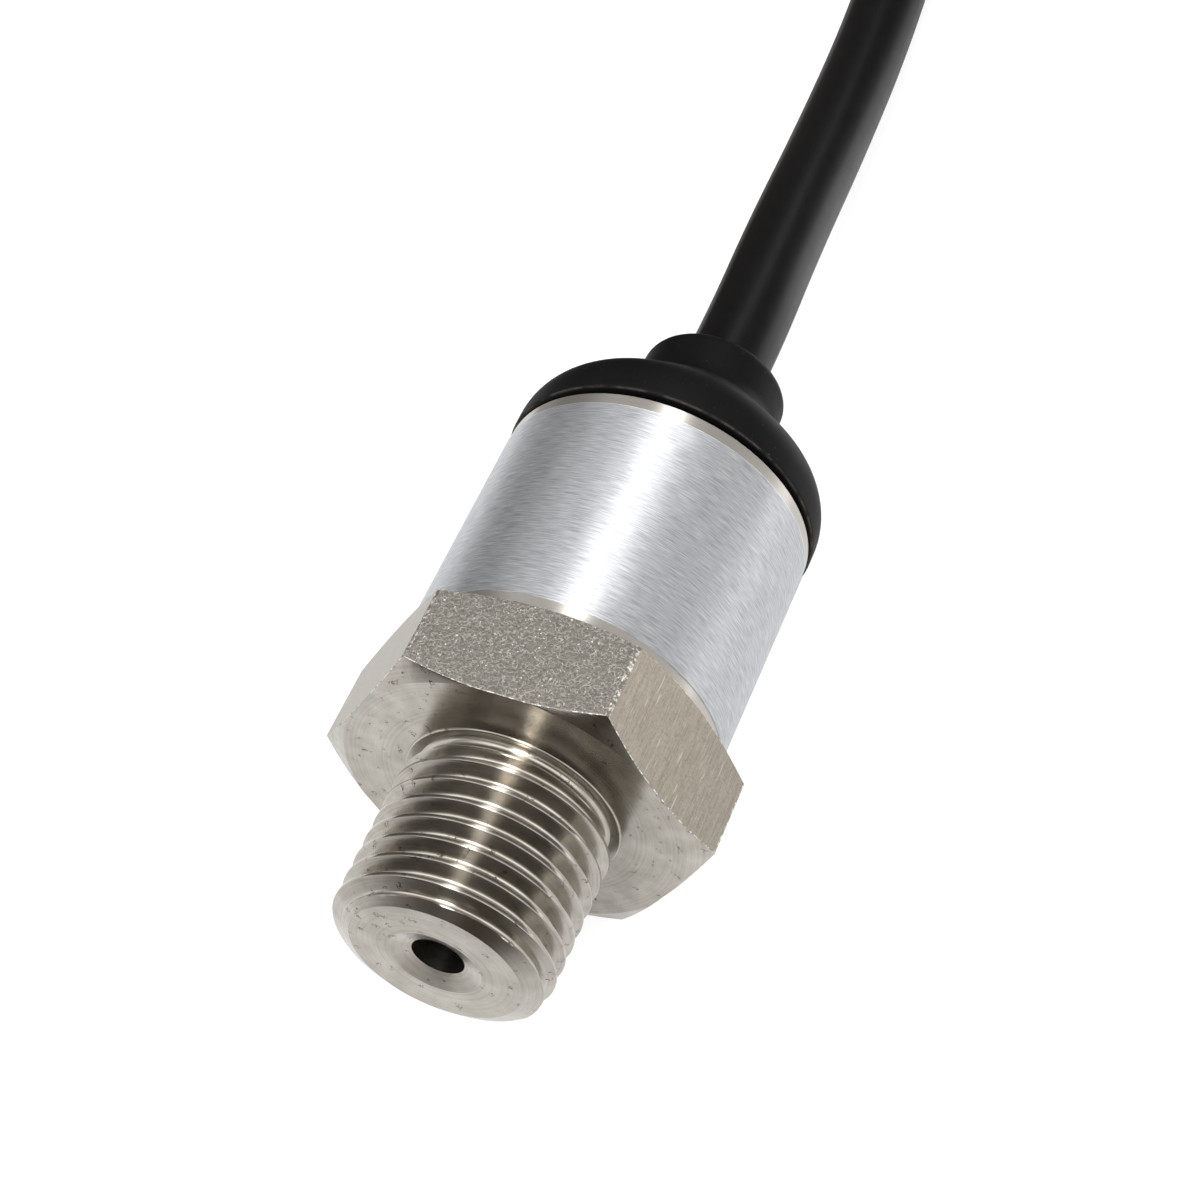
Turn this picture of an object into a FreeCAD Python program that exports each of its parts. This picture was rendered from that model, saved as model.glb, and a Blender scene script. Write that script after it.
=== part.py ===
import FreeCAD, Part
import math
import os
import re
import Sketcher

# Cable-outlet pressure sensor, in millimetres, lying on a flat of its hexagon.
# The axis is Y: the threaded port points to -Y and the cable leaves to +Y. The origin is on the axis
# at the face of the hexagon that seats on the mating fitting, and +Z is up.

os.makedirs("parts", exist_ok=True)
doc = FreeCAD.newDocument("PressureSensor")

# Driving dimensions. Lengths along the axis follow each other from the end of the thread.
SIZES = {
    # pressure port
    "thread_diameter": 13.157,
    "thread_length": 11.25,
    "end_chamfer": 1.5,
    "inlet_diameter": 3.2,
    "inlet_sink_diameter": 5.6,
    "inlet_sink_depth": 0.45,
    "relief_diameter": 11.6,
    "relief_run": 0.02,
    "relief_fillet": 0.8,
    "hex_across": 21.0,
    "hex_height": 6.5,
    "hex_front_diameter": 21.2,
    "hex_back_diameter": 20.2,
    "hex_chamfer_slope": 0.45,
    "hex_corner_cut": 0.064,
    "collar_step": 0.05,
    "collar_height": 0.85,
    "spigot_length": 5.0,
    "spigot_clearance": 0.05,
    # ceramic measuring cell and its seal
    "cell_diameter": 13.2,
    "cell_clearance": 0.1,
    "cell_seal_height": 1.0,
    "cell_seal_width": 1.6,
    "diaphragm_thickness": 0.6,
    "cell_thickness": 4.0,
    "retainer_height": 2.0,
    "retainer_bore": 10.0,
    "retainer_sink": 0.15,
    "pin_diameter": 0.6,
    "pin_circle": 8.0,
    "pin_rise": 0.8,
    # sleeve and its seal
    "sleeve_diameter": 20.1,
    "sleeve_wall": 1.0,
    "sleeve_length": 15.95,
    "land_height": 0.85,
    "land_taper": 0.06,
    "seal_groove_start": 1.5,
    "seal_groove_width": 2.0,
    "seal_groove_depth": 1.3,
    "seal_edge": 0.3,
    # carrier ring and circuit board
    "carrier_length": 5.65,
    "carrier_clearance": 0.1,
    "carrier_bore": 14.6,
    "board_seat_depth": 2.25,
    "board_diameter": 16.4,
    "board_clearance": 0.1,
    "board_thickness": 1.0,
    "chip_length": 5.0,
    "chip_width": 4.4,
    "chip_height": 1.1,
    "small_part_length": 1.6,
    "small_part_width": 0.8,
    "small_part_height": 0.5,
    "small_part_circle": 13.2,
    "diode_length": 2.6,
    "diode_width": 1.5,
    "diode_height": 1.0,
    "diode_place": 4.5,
    "wire_circle": 10.0,
    "solder_height": 0.7,
    "solder_foot": 0.55,
    "solder_top": 0.15,
    # rubber cap
    "cap_gap": 0.4,
    "cap_overhang": 0.075,
    "cap_rim_height": 2.6,
    "cap_cone_height": 4.85,
    "cap_shoulder_radius": 3.4,
    "cap_root_radius": 1.8,
    "cap_lip_radius": 0.25,
    "boss_diameter": 9.6,
    "boss_height": 3.4,
    "boss_edge_radius": 1.0,
    "cap_cavity": 14.0,
    "cap_roof_depth": 7.0,
    # cable and what holds it
    "cable_diameter": 5.5,
    "clamp_wall": 1.05,
    "clamp_length": 3.8,
    "clamp_clearance": 0.1,
    "jacket_tail": 1.5,
    "core_diameter": 1.3,
    "core_circle": 2.6,
    "lead_length": 42.0,
    "tip_diameter": 0.8,
    "tip_length": 6.0,
    # put-away length of the cable, wound into a hank of flat turns, one on another
    "hank_turns": 4,
    "hank_fold_radius": 16.5,
    "hank_half_run": 38.0,
    "hank_centre_x": 11.5,
    "hank_fold_y": 111.0,
    "last_turn_run": 16.0,
    "tie_width": 3.6,
    "tie_thickness": 1.0,
    "tie_head": 5.0,
    "tie_head_height": 3.5,
    "tie_inset": 8.0,
}

# Sizes that follow from the driving dimensions. Places along the axis are distances from the thread's end.
DERIVED = {
    "relief_depth": "(thread_diameter - relief_diameter) / 2",
    "thread_end": "thread_length - relief_fillet - relief_run - relief_depth",
    "hex_corner_diameter": "hex_across * 2 / sqrt(3) - 2 * hex_corner_cut",
    "hex_back": "thread_length + hex_height",
    "collar_end": "hex_back + collar_height",
    "spigot_end": "collar_end + spigot_length",
    "sleeve_end": "collar_end + sleeve_length",
    "sleeve_bore": "sleeve_diameter - 2 * sleeve_wall",
    "collar_diameter": "sleeve_diameter - 2 * collar_step",
    "cap_rim_diameter": "sleeve_diameter + 2 * cap_overhang",
    "chamber_diameter": "cell_diameter + 2 * cell_clearance",
    "retainer_end": "spigot_end - retainer_sink",
    "cell_back": "retainer_end - retainer_height",
    "cell_front": "cell_back - cell_thickness",
    "diaphragm_front": "cell_front - diaphragm_thickness",
    "chamber_floor": "diaphragm_front - cell_seal_height",
    "seal_start": "collar_end + seal_groove_start",
    "seal_end": "seal_start + seal_groove_width",
    "carrier_end": "spigot_end + carrier_length",
    "board_foot": "spigot_end + board_seat_depth",
    "board_top": "board_foot + board_thickness",
    "cap_rim": "sleeve_end + cap_gap",
    "cap_shoulder": "cap_rim + cap_rim_height",
    "boss_root": "cap_shoulder + cap_cone_height",
    "boss_top": "boss_root + boss_height",
    "cap_roof": "carrier_end + cap_roof_depth",
    "clamp_end": "cap_roof + clamp_length",
    "jacket_start": "cap_roof - jacket_tail",
    "floor_level": "-hex_across / 2",
    "hank_foot": "floor_level + tie_thickness",
    "hank_top": "hank_foot + hank_turns * cable_diameter",
    "hank_far_fold": "hank_fold_y + 2 * hank_half_run",
}

# Route of the free cable from inside the cap to the hank, chosen by hand: straight out of the boss,
# down to the surface that the sensor lies on, and along it.
ROUTE = [
    (0.0, 30.0, 0.0),
    (0.0, 39.0, 0.0),
    (-0.8, 50.0, -2.0),
    (-1.9, 64.0, -5.3),
    (-3.0, 78.0, -7.5),
    (-4.1, 90.0, -7.5),
    (-5.0, 101.0, -6.6),
    (-5.0, 111.0, -6.6),
]
ARC_SHARE = 0.45
CORE_RUN_SHARE = 0.25
SAME_PLACE = 1e-4
CORE_COLOURS = {"red": 45.0, "yellow": 135.0, "black": 225.0}
PIN_ANGLES = (0.0, 90.0, 180.0, 270.0)


def fill_sheet():
    """The sheet of sizes that every feature is bound to."""
    sheet = doc.addObject("Spreadsheet::Sheet", "Sizes")
    for row, (name, value) in enumerate({**SIZES, **DERIVED}.items(), start=1):
        sheet.set(f"A{row}", name)
        sheet.set(f"B{row}", f"={value}" if name in DERIVED else str(value))
        sheet.setAlias(f"B{row}", name)
    doc.recompute()
    return sheet


sheet = fill_sheet()
NAMES = re.compile(r"\b(" + "|".join({**SIZES, **DERIVED}) + r")\b")


def bound(text):
    """An expression in the sheet's names, as a feature reads it."""
    return NAMES.sub(r"Sizes.\1", text)


def size(text):
    """The present value of an expression in the sheet's names."""
    return float(sheet.evalExpression(bound(text)))


def bind(item, **expressions):
    for prop, text in expressions.items():
        item.setExpression(prop.replace("__", "."), bound(text))


def new_body(name):
    """A body whose own Y = 0 is the end of the thread."""
    body = doc.addObject("PartDesign::Body", name)
    body.Label = name
    bind(body, Placement__Base__y="-thread_length")
    return body


def new_sketch(body, name, role="XY_Plane"):
    sketch = body.newObject("Sketcher::SketchObject", name)
    plane = next(f for f in body.Origin.OriginFeatures if f.Role == role)
    sketch.AttachmentSupport = [(plane, "")]
    sketch.MapMode = "FlatFace"
    return sketch


def draw_outline(sketch, points):
    """A closed polygon whose corners are bound to expressions, with "0" for a corner on an axis."""
    places = [FreeCAD.Vector(size(x), size(y), 0) for x, y in points]
    for start, end in zip(places, places[1:] + places[:1]):
        sketch.addGeometry(Part.LineSegment(start, end))
    for line, (x, y) in enumerate(points):
        before = (line - 1) % len(points)
        sketch.addConstraint(Sketcher.Constraint("Coincident", before, 2, line, 1))
        for kind, text, axis in (("DistanceX", x, -2), ("DistanceY", y, -1)):
            if text == "0":
                sketch.addConstraint(Sketcher.Constraint("PointOnObject", line, 1, axis))
            else:
                index = sketch.addConstraint(Sketcher.Constraint(kind, -1, 1, line, 1, size(text)))
                sketch.setExpression(f"Constraints[{index}]", bound(text))


def spin(body, name, points, kind="PartDesign::Revolution"):
    """A feature turned about the axis from (radius, distance) corners."""
    sketch = new_sketch(body, name + "Outline")
    draw_outline(sketch, points)
    doc.recompute()
    feature = body.newObject(kind, name)
    feature.Profile = sketch
    feature.ReferenceAxis = (sketch, ["V_Axis"])
    feature.Angle = 360
    sketch.Visibility = False
    doc.recompute()
    return feature


def turned(name, points):
    body = new_body(name)
    spin(body, name + "Turned", points)
    return body


def soften_rim(body, name, rims, reach, kind="Fillet"):
    """Fillets or chamfers circular edges of the body's tip, each named by its radius and its distance."""
    base = body.Tip
    found = []
    for rim_radius, distance in rims:
        for number, edge in enumerate(base.Shape.Edges, start=1):
            if not isinstance(edge.Curve, Part.Circle):
                continue
            off = (edge.Curve.Radius - size(rim_radius), edge.Curve.Center.y - size(distance))
            if max(map(abs, off)) < SAME_PLACE:
                found.append(f"Edge{number}")
    feature = body.newObject("PartDesign::" + kind, name)
    feature.Base = (base, found)
    bind(feature, **{"Radius" if kind == "Fillet" else "Size": reach})
    doc.recompute()


def hexagon(sketch, across):
    """A regular hexagon about the sketch's origin with two corners on its X axis."""
    corner = size(across) / math.sqrt(3)
    angles = [math.radians(60 * k) for k in range(6)]
    places = [FreeCAD.Vector(corner * math.cos(a), corner * math.sin(a), 0) for a in angles]
    for start, end in zip(places, places[1:] + places[:1]):
        sketch.addGeometry(Part.LineSegment(start, end))
    circle = sketch.addGeometry(Part.Circle(FreeCAD.Vector(), FreeCAD.Vector(0, 0, 1), corner), True)
    sketch.addConstraint(Sketcher.Constraint("Coincident", circle, 3, -1, 1))
    for side in range(6):
        sketch.addConstraint(Sketcher.Constraint("Coincident", side, 2, (side + 1) % 6, 1))
        sketch.addConstraint(Sketcher.Constraint("PointOnObject", side, 1, circle))
        if side:
            sketch.addConstraint(Sketcher.Constraint("Equal", 0, side))
    sketch.addConstraint(Sketcher.Constraint("PointOnObject", 0, 1, -1))
    index = sketch.addConstraint(Sketcher.Constraint("Radius", circle, corner))
    sketch.setExpression(f"Constraints[{index}]", bound(f"{across} / sqrt(3)"))


def pressure_port():
    """Turned stud, relief, hexagon with turned corners, collar and spigot, then the inlet and chamber."""
    spigot = "sleeve_bore / 2 - spigot_clearance"
    groove = f"{spigot} - seal_groove_depth"
    body = turned("pressure_port", [
        ("0", "0"),
        ("thread_diameter / 2 - end_chamfer", "0"),
        ("thread_diameter / 2", "end_chamfer"),
        ("thread_diameter / 2", "thread_end"),
        ("relief_diameter / 2", "thread_end + relief_depth"),
        ("relief_diameter / 2", "thread_length"),
        ("collar_diameter / 2", "thread_length"),
        ("collar_diameter / 2", "collar_end"),
        (spigot, "collar_end"),
        (spigot, "seal_start"),
        (groove, "seal_start"),
        (groove, "seal_end"),
        (spigot, "seal_end"),
        (spigot, "spigot_end"),
        ("0", "spigot_end"),
    ])
    plan = new_sketch(body, "HexPlan", "XZ_Plane")
    hexagon(plan, "hex_across")
    bind(plan, AttachmentOffset__Base__z="-thread_length")
    doc.recompute()
    pad = body.newObject("PartDesign::Pad", "HexPad")
    pad.Profile = plan
    pad.Reversed = True
    bind(pad, Length="hex_height")
    doc.recompute()
    for name, diameter, face, way in (("FrontCorners", "hex_front_diameter", "thread_length", "+"),
                                      ("BackCorners", "hex_back_diameter", "hex_back", "-")):
        spin(body, name, [
            (f"{diameter} / 2", face),
            ("hex_across", face),
            ("hex_across", f"{face} {way} (hex_across - {diameter} / 2) * hex_chamfer_slope"),
        ], "PartDesign::Groove")
    spin(body, "CornersTurned", [
        ("hex_corner_diameter / 2", "thread_length"),
        ("hex_across", "thread_length"),
        ("hex_across", "hex_back"),
        ("hex_corner_diameter / 2", "hex_back"),
    ], "PartDesign::Groove")
    soften_rim(body, "ReliefFillet", [("relief_diameter / 2", "thread_length")], "relief_fillet")
    spin(body, "InletAndChamber", [
        ("0", "0"),
        ("inlet_sink_diameter / 2", "0"),
        ("inlet_diameter / 2", "inlet_sink_depth"),
        ("inlet_diameter / 2", "chamber_floor"),
        ("chamber_diameter / 2", "chamber_floor"),
        ("chamber_diameter / 2", "spigot_end"),
        ("0", "spigot_end"),
    ], "PartDesign::Groove")
    return body


def cell_seal():
    """Seal ring squeezed between the chamber floor and the diaphragm."""
    outer = "cell_diameter / 2"
    inner = "cell_diameter / 2 - cell_seal_width"
    body = turned("cell_seal", [
        (inner, "chamber_floor"),
        (outer, "chamber_floor"),
        (outer, "diaphragm_front"),
        (inner, "diaphragm_front"),
    ])
    rims = [(radius, face) for radius in (outer, inner) for face in ("chamber_floor", "diaphragm_front")]
    soften_rim(body, "CellSealEdges", rims, "seal_edge", "Chamfer")
    return body


def disc(name, diameter, start, end):
    return turned(name, [("0", start), (f"{diameter} / 2", start), (f"{diameter} / 2", end), ("0", end)])


def ring(name, bore, diameter, start, end):
    inner, outer = f"({bore}) / 2", f"({diameter}) / 2"
    return turned(name, [(inner, start), (outer, start), (outer, end), (inner, end)])


def sleeve_seal():
    """Seal ring in the spigot's groove, squeezed by the sleeve."""
    inner = "sleeve_bore / 2 - spigot_clearance - seal_groove_depth"
    outer = "sleeve_bore / 2"
    body = turned("sleeve_seal", [
        (inner, "seal_start"), (outer, "seal_start"), (outer, "seal_end"), (inner, "seal_end"),
    ])
    rims = [(radius, edge) for radius in (inner, outer) for edge in ("seal_start", "seal_end")]
    soften_rim(body, "SleeveSealEdges", rims, "seal_edge", "Chamfer")
    return body


def housing_sleeve():
    """Thin tube from the collar to the cap, with a turned land at its free end."""
    return turned("housing_sleeve", [
        ("sleeve_bore / 2", "collar_end"),
        ("sleeve_diameter / 2", "collar_end"),
        ("sleeve_diameter / 2", "sleeve_end - land_height"),
        ("sleeve_diameter / 2 - land_taper", "sleeve_end"),
        ("sleeve_bore / 2", "sleeve_end"),
    ])


def board_carrier():
    """Insulating ring between the spigot and the cap, with a step that the board sits on."""
    outer = "sleeve_bore / 2 - carrier_clearance"
    return turned("board_carrier", [
        ("carrier_bore / 2", "spigot_end"),
        (outer, "spigot_end"),
        (outer, "carrier_end"),
        ("board_diameter / 2 + board_clearance", "carrier_end"),
        ("board_diameter / 2 + board_clearance", "board_foot"),
        ("carrier_bore / 2", "board_foot"),
    ])


def cable_cap():
    """Moulded rubber cap: plug in the sleeve, rim, rounded shoulder, cone, boss and cable hole."""
    body = turned("cable_cap", [
        ("cap_cavity / 2", "carrier_end"),
        ("sleeve_bore / 2", "carrier_end"),
        ("sleeve_bore / 2", "cap_rim"),
        ("cap_rim_diameter / 2", "cap_rim"),
        ("cap_rim_diameter / 2", "cap_shoulder"),
        ("boss_diameter / 2", "boss_root"),
        ("boss_diameter / 2", "boss_top"),
        ("cable_diameter / 2", "boss_top"),
        ("cable_diameter / 2", "clamp_end"),
        ("cable_diameter / 2 + clamp_wall + clamp_clearance", "clamp_end"),
        ("cable_diameter / 2 + clamp_wall + clamp_clearance", "cap_roof"),
        ("cap_cavity / 2", "cap_roof"),
    ])
    soften_rim(body, "CapShoulder", [("cap_rim_diameter / 2", "cap_shoulder")], "cap_shoulder_radius")
    soften_rim(body, "CapRoot", [("boss_diameter / 2", "boss_root")], "cap_root_radius")
    soften_rim(body, "BossEdge", [("boss_diameter / 2", "boss_top")], "boss_edge_radius")
    soften_rim(body, "CapLip", [("cap_rim_diameter / 2", "cap_rim")], "cap_lip_radius")
    return body


def along_axis(kind, name, start, x="0", z="0", **sizes):
    """A round primitive standing on a plane across the axis, pointing to +Y."""
    item = doc.addObject(kind, name)
    item.Placement.Rotation = FreeCAD.Rotation(FreeCAD.Vector(1, 0, 0), -90)
    bind(item, Placement__Base__x=x, Placement__Base__y=f"{start} - thread_length", Placement__Base__z=z)
    bind(item, **sizes)
    return item


def on_circle(circle, angle):
    """X and Z expressions of a place on a circle about the axis."""
    turn = math.radians(angle)
    return f"{circle} / 2 * {math.cos(turn):.6f}", f"{circle} / 2 * {math.sin(turn):.6f}"


def group(name, items):
    compound = doc.addObject("Part::Compound", name)
    compound.Label = name
    compound.Links = items
    doc.recompute()
    return compound


def cut(name, base, tool):
    result = doc.addObject("Part::Cut", name)
    result.Label = name
    result.Base = base
    result.Tool = tool
    doc.recompute()
    return result


def cell_pins():
    """Four pins from the back of the cell through the board."""
    pins = []
    for angle in PIN_ANGLES:
        x, z = on_circle("pin_circle", angle)
        pins.append(along_axis("Part::Cylinder", f"Pin{angle:.0f}", "cell_back", x, z,
                               Radius="pin_diameter / 2", Height="board_top + pin_rise - cell_back"))
    return group("cell_pins", pins)


def circuit_board():
    """Round board with a hole for each pin."""
    blank = along_axis("Part::Cylinder", "BoardBlank", "board_foot",
                       Radius="board_diameter / 2", Height="board_thickness")
    holes = []
    for angle in PIN_ANGLES:
        x, z = on_circle("pin_circle", angle)
        holes.append(along_axis("Part::Cylinder", f"PinHole{angle:.0f}", "board_foot", x, z,
                                Radius="pin_diameter / 2", Height="board_thickness"))
    return cut("circuit_board", blank, group("PinHoles", holes))


def on_board(name, x, z, long_x, long_z, height):
    """A box on the board's upper face, centred on a place."""
    item = doc.addObject("Part::Box", name)
    bind(item, Length=long_x, Width=height, Height=long_z, Placement__Base__x=f"{x} - ({long_x}) / 2",
         Placement__Base__y="board_top - thread_length", Placement__Base__z=f"{z} - ({long_z}) / 2")
    return item


def board_parts():
    """Signal chip, capacitors, resistors and surge diode on the board."""
    edge = "small_part_circle / 2"
    chip = on_board("signal_chip", "0", "0", "chip_length", "chip_width", "chip_height")
    capacitors = [on_board(f"Capacitor{way}", f"{way}{edge}", "0",
                           "small_part_width", "small_part_length", "small_part_height") for way in "+-"]
    resistors = [on_board(f"Resistor{way}", "0", f"{way}{edge}",
                          "small_part_length", "small_part_width", "small_part_height") for way in "+-"]
    diode = on_board("surge_diode", "diode_place", "-diode_place",
                     "diode_length", "diode_width", "diode_height")
    return [chip, group("chip_capacitors", capacitors), group("chip_resistors", resistors), diode]


def solder_joint(name, x, z, hole):
    """A small cone of solder round a pin or a wire."""
    cone = along_axis("Part::Cone", name + "Cone", "board_top", x, z, Height="solder_height",
                      Radius1=f"{hole} / 2 + solder_foot", Radius2=f"{hole} / 2 + solder_top")
    core = along_axis("Part::Cylinder", name + "Hole", "board_top", x, z,
                      Height="solder_height", Radius=f"{hole} / 2")
    return cut(name, cone, core)


def solder_joints():
    joints = [solder_joint(f"PinJoint{angle:.0f}", *on_circle("pin_circle", angle), "pin_diameter")
              for angle in PIN_ANGLES]
    joints += [solder_joint(f"WireJoint{angle:.0f}", *on_circle("wire_circle", angle), "core_diameter")
               for angle in CORE_COLOURS.values()]
    return group("solder_joints", joints)


def tube_path(points):
    """Straight runs joined by tangent arcs, each arc as large as its two runs allow, and the radii."""
    places = [FreeCAD.Vector(*p) for p in points]
    edges, radii, start = [], [], places[0]
    for before, corner, after in zip(places, places[1:], places[2:]):
        back, ahead = (before - corner), (after - corner)
        reach = ARC_SHARE * min(back.Length, ahead.Length)
        half_turn = (math.pi - back.getAngle(ahead)) / 2
        radii.append(reach / math.tan(half_turn))
        back.normalize()
        ahead.normalize()
        first, last = corner + back * reach, corner + ahead * reach
        inward = (back + ahead).normalize()
        middle = corner + inward * (radii[-1] / math.cos(half_turn) - radii[-1])
        edges.append(Part.LineSegment(start, first).toShape())
        edges.append(Part.Arc(first, middle, last).toShape())
        start = last
    edges.append(Part.LineSegment(start, places[-1]).toShape())
    return Part.Wire(edges), radii


def tube(points, diameter):
    """A round solid along a route of points."""
    path, radii = tube_path(points)
    start = FreeCAD.Vector(*points[0])
    section = Part.Wire(Part.makeCircle(diameter / 2, start, FreeCAD.Vector(*points[1]) - start))
    solid = path.makePipeShell([section], True, False)
    share = solid.Volume / (math.pi * diameter ** 2 / 4 * path.Length)
    print("tube: volume share", round(share, 4), "length", round(path.Length, 1))
    print("tube: bend radii", [round(r, 1) for r in radii])
    return solid


def shaped(name, shape):
    item = doc.addObject("Part::Feature", name)
    item.Label = name
    item.Shape = shape
    item.Placement = FreeCAD.Placement()
    return item


def core(colour, angle):
    """One insulated wire from the end of the jacket to its place on the board."""
    turn = math.radians(angle)
    near, far = size("core_circle / 2"), size("wire_circle / 2")
    start, end = size("jacket_start - thread_length"), size("board_top - thread_length")
    rise = (start - end) * CORE_RUN_SHARE
    places = [(near, start), (near, start - rise), (far, end + rise), (far, end)]
    points = [(r * math.cos(turn), y, r * math.sin(turn)) for r, y in places]
    return shaped(f"core_{colour}", tube(points, size("core_diameter")))


def hank_plan(sketch, radius):
    """A long loop of two straight runs and two half circles about the hank's fold centres."""
    x, near, far, r = (size(t) for t in ("hank_centre_x", "hank_fold_y", "hank_far_fold", radius))
    up = FreeCAD.Vector(0, 0, 1)
    near_arc = Part.ArcOfCircle(Part.Circle(FreeCAD.Vector(x, near, 0), up, r), math.pi, 2 * math.pi)
    far_arc = Part.ArcOfCircle(Part.Circle(FreeCAD.Vector(x, far, 0), up, r), 0, math.pi)
    right = Part.LineSegment(FreeCAD.Vector(x + r, near, 0), FreeCAD.Vector(x + r, far, 0))
    left = Part.LineSegment(FreeCAD.Vector(x - r, far, 0), FreeCAD.Vector(x - r, near, 0))
    for piece in (near_arc, right, far_arc, left):
        sketch.addGeometry(piece)
    for piece in range(4):
        sketch.addConstraint(Sketcher.Constraint("Tangent", piece, 2, (piece + 1) % 4, 1))
    for arc, place in ((0, "hank_fold_y"), (2, "hank_far_fold")):
        for kind, text in (("DistanceX", "hank_centre_x"), ("DistanceY", place)):
            index = sketch.addConstraint(Sketcher.Constraint(kind, -1, 1, arc, 3, size(text)))
            sketch.setExpression(f"Constraints[{index}]", bound(text))
    index = sketch.addConstraint(Sketcher.Constraint("Radius", 0, r))
    sketch.setExpression(f"Constraints[{index}]", bound(radius))


def cable_hank():
    """Outer shape of the wound cable: a long loop, one cable wide, with room for the free leads on top."""
    body = doc.addObject("PartDesign::Body", "cable_hank")
    body.Label = "cable_hank"
    bind(body, Placement__Base__z="hank_foot")
    for name, kind, way in (("HankOuter", "PartDesign::Pad", "+"),
                            ("HankInner", "PartDesign::Pocket", "-")):
        plan = new_sketch(body, name + "Plan")
        hank_plan(plan, f"hank_fold_radius {way} cable_diameter / 2")
        doc.recompute()
        feature = body.newObject(kind, name)
        feature.Profile = plan
        feature.Reversed = kind.endswith("Pocket")
        bind(feature, Length="hank_turns * cable_diameter")
        doc.recompute()
    plan = new_sketch(body, "FreeEndPlan")
    bind(plan, AttachmentOffset__Base__z="hank_turns * cable_diameter")
    draw_outline(plan, [
        ("hank_centre_x", "hank_fold_y - hank_half_run"),
        ("hank_centre_x + hank_half_run", "hank_fold_y - hank_half_run"),
        ("hank_centre_x + hank_half_run", "hank_far_fold - last_turn_run"),
        ("hank_centre_x", "hank_far_fold - last_turn_run"),
    ])
    doc.recompute()
    notch = body.newObject("PartDesign::Pocket", "FreeEndNotch")
    notch.Profile = plan
    bind(notch, Length="cable_diameter")
    doc.recompute()
    return body


def cable_jacket(hank):
    """The cable's jacket from inside the cap to the hank."""
    start = FreeCAD.Vector(*ROUTE[0])
    foot = FreeCAD.Vector(0, size("jacket_start - thread_length"), 0)
    inner = Part.makeCylinder(size("cable_diameter") / 2, (start - foot).Length, foot, start - foot)
    solid = inner.fuse(tube(ROUTE, size("cable_diameter"))).removeSplitter()
    return shaped("cable_jacket", solid.cut(hank.Shape).Solids[0])


def box(name, x, y, foot, long_x, long_y, height):
    """A box that stands on a level, centred on a place."""
    item = doc.addObject("Part::Box", name)
    bind(item, Length=long_x, Width=long_y, Height=height)
    bind(item, Placement__Base__x=f"{x} - ({long_x}) / 2", Placement__Base__y=f"{y} - ({long_y}) / 2",
         Placement__Base__z=foot)
    return item


def tie(name, side, y):
    """A flat tie round one run of the hank, with its head on top."""
    middle = f"hank_centre_x {side} hank_fold_radius"
    stack = "hank_turns * cable_diameter"
    band = box(name + "Band", middle, y, "hank_foot - tie_thickness",
               "cable_diameter + 2 * tie_thickness", "tie_width", f"{stack} + 2 * tie_thickness")
    hole = box(name + "Hole", middle, y, "hank_foot", "cable_diameter", "tie_width", stack)
    head = box(name + "Head", middle, y, "hank_top + tie_thickness / 2",
               "tie_head", "tie_head", "tie_head_height")
    strap = cut(name + "Strap", band, hole)
    whole = doc.addObject("Part::Fuse", name)
    whole.Base = strap
    whole.Tool = head
    whole.Refine = True
    doc.recompute()
    return whole


def cable_ties():
    return group("cable_ties", [
        tie("LeftTie", "-", "hank_fold_y + hank_half_run"),
        tie("RightTie", "+", "hank_far_fold - tie_inset"),
    ])


def lead(colour, angle):
    """One free wire end along the hank's last run, and its tinned tip."""
    turn = math.radians(angle)
    x = f"hank_centre_x + hank_fold_radius + core_circle / 2 * {math.cos(turn):.6f}"
    z = f"hank_top - cable_diameter / 2 + core_circle / 2 * {math.sin(turn):.6f}"
    wire_start = "hank_far_fold - last_turn_run"
    pieces = []
    for name, diameter, length, start in (
            (f"lead_{colour}", "core_diameter", "lead_length", wire_start),
            (f"Tip_{colour}", "tip_diameter", "tip_length", f"{wire_start} - lead_length")):
        item = doc.addObject("Part::Cylinder", name)
        item.Label = name
        item.Placement.Rotation = FreeCAD.Rotation(FreeCAD.Vector(1, 0, 0), 90)
        bind(item, Radius=f"{diameter} / 2", Height=length,
             Placement__Base__x=x, Placement__Base__y=start, Placement__Base__z=z)
        pieces.append(item)
    return pieces


def check(items):
    """Stops if any object is in error or any part is empty or not valid."""
    for item in doc.Objects:
        if {"Invalid", "Error"} & set(item.State):
            raise RuntimeError(f"{item.Name} is in state {item.State}")
    for item in items:
        if item.Shape.isNull() or not item.Shape.isValid() or not item.Shape.Solids:
            raise RuntimeError(f"{item.Label} has no valid solid")


def build():
    hank = cable_hank()
    leads = [lead(colour, angle) for colour, angle in CORE_COLOURS.items()]
    items = [
        pressure_port(),
        cell_seal(),
        disc("cell_diaphragm", "cell_diameter", "diaphragm_front", "cell_front"),
        disc("cell_body", "cell_diameter", "cell_front", "cell_back"),
        ring("cell_retainer", "retainer_bore", "chamber_diameter", "cell_back", "retainer_end"),
        cell_pins(),
        sleeve_seal(),
        housing_sleeve(),
        board_carrier(),
        circuit_board(),
        *board_parts(),
        solder_joints(),
        *[core(colour, angle) for colour, angle in CORE_COLOURS.items()],
        ring("cable_clamp", "cable_diameter", "cable_diameter + 2 * clamp_wall", "cap_roof", "clamp_end"),
        cable_cap(),
        cable_jacket(hank),
        hank,
        cable_ties(),
        *[wire for wire, tip in leads],
        group("lead_tips", [tip for wire, tip in leads]),
    ]
    doc.recompute()
    check(items)
    for item in items:
        item.Shape.exportStep(f"parts/{item.Label}.step")
    print(len(items), "parts")


build()
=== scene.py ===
import math
import bmesh
import bpy
from mathutils import Matrix, Vector

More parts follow.
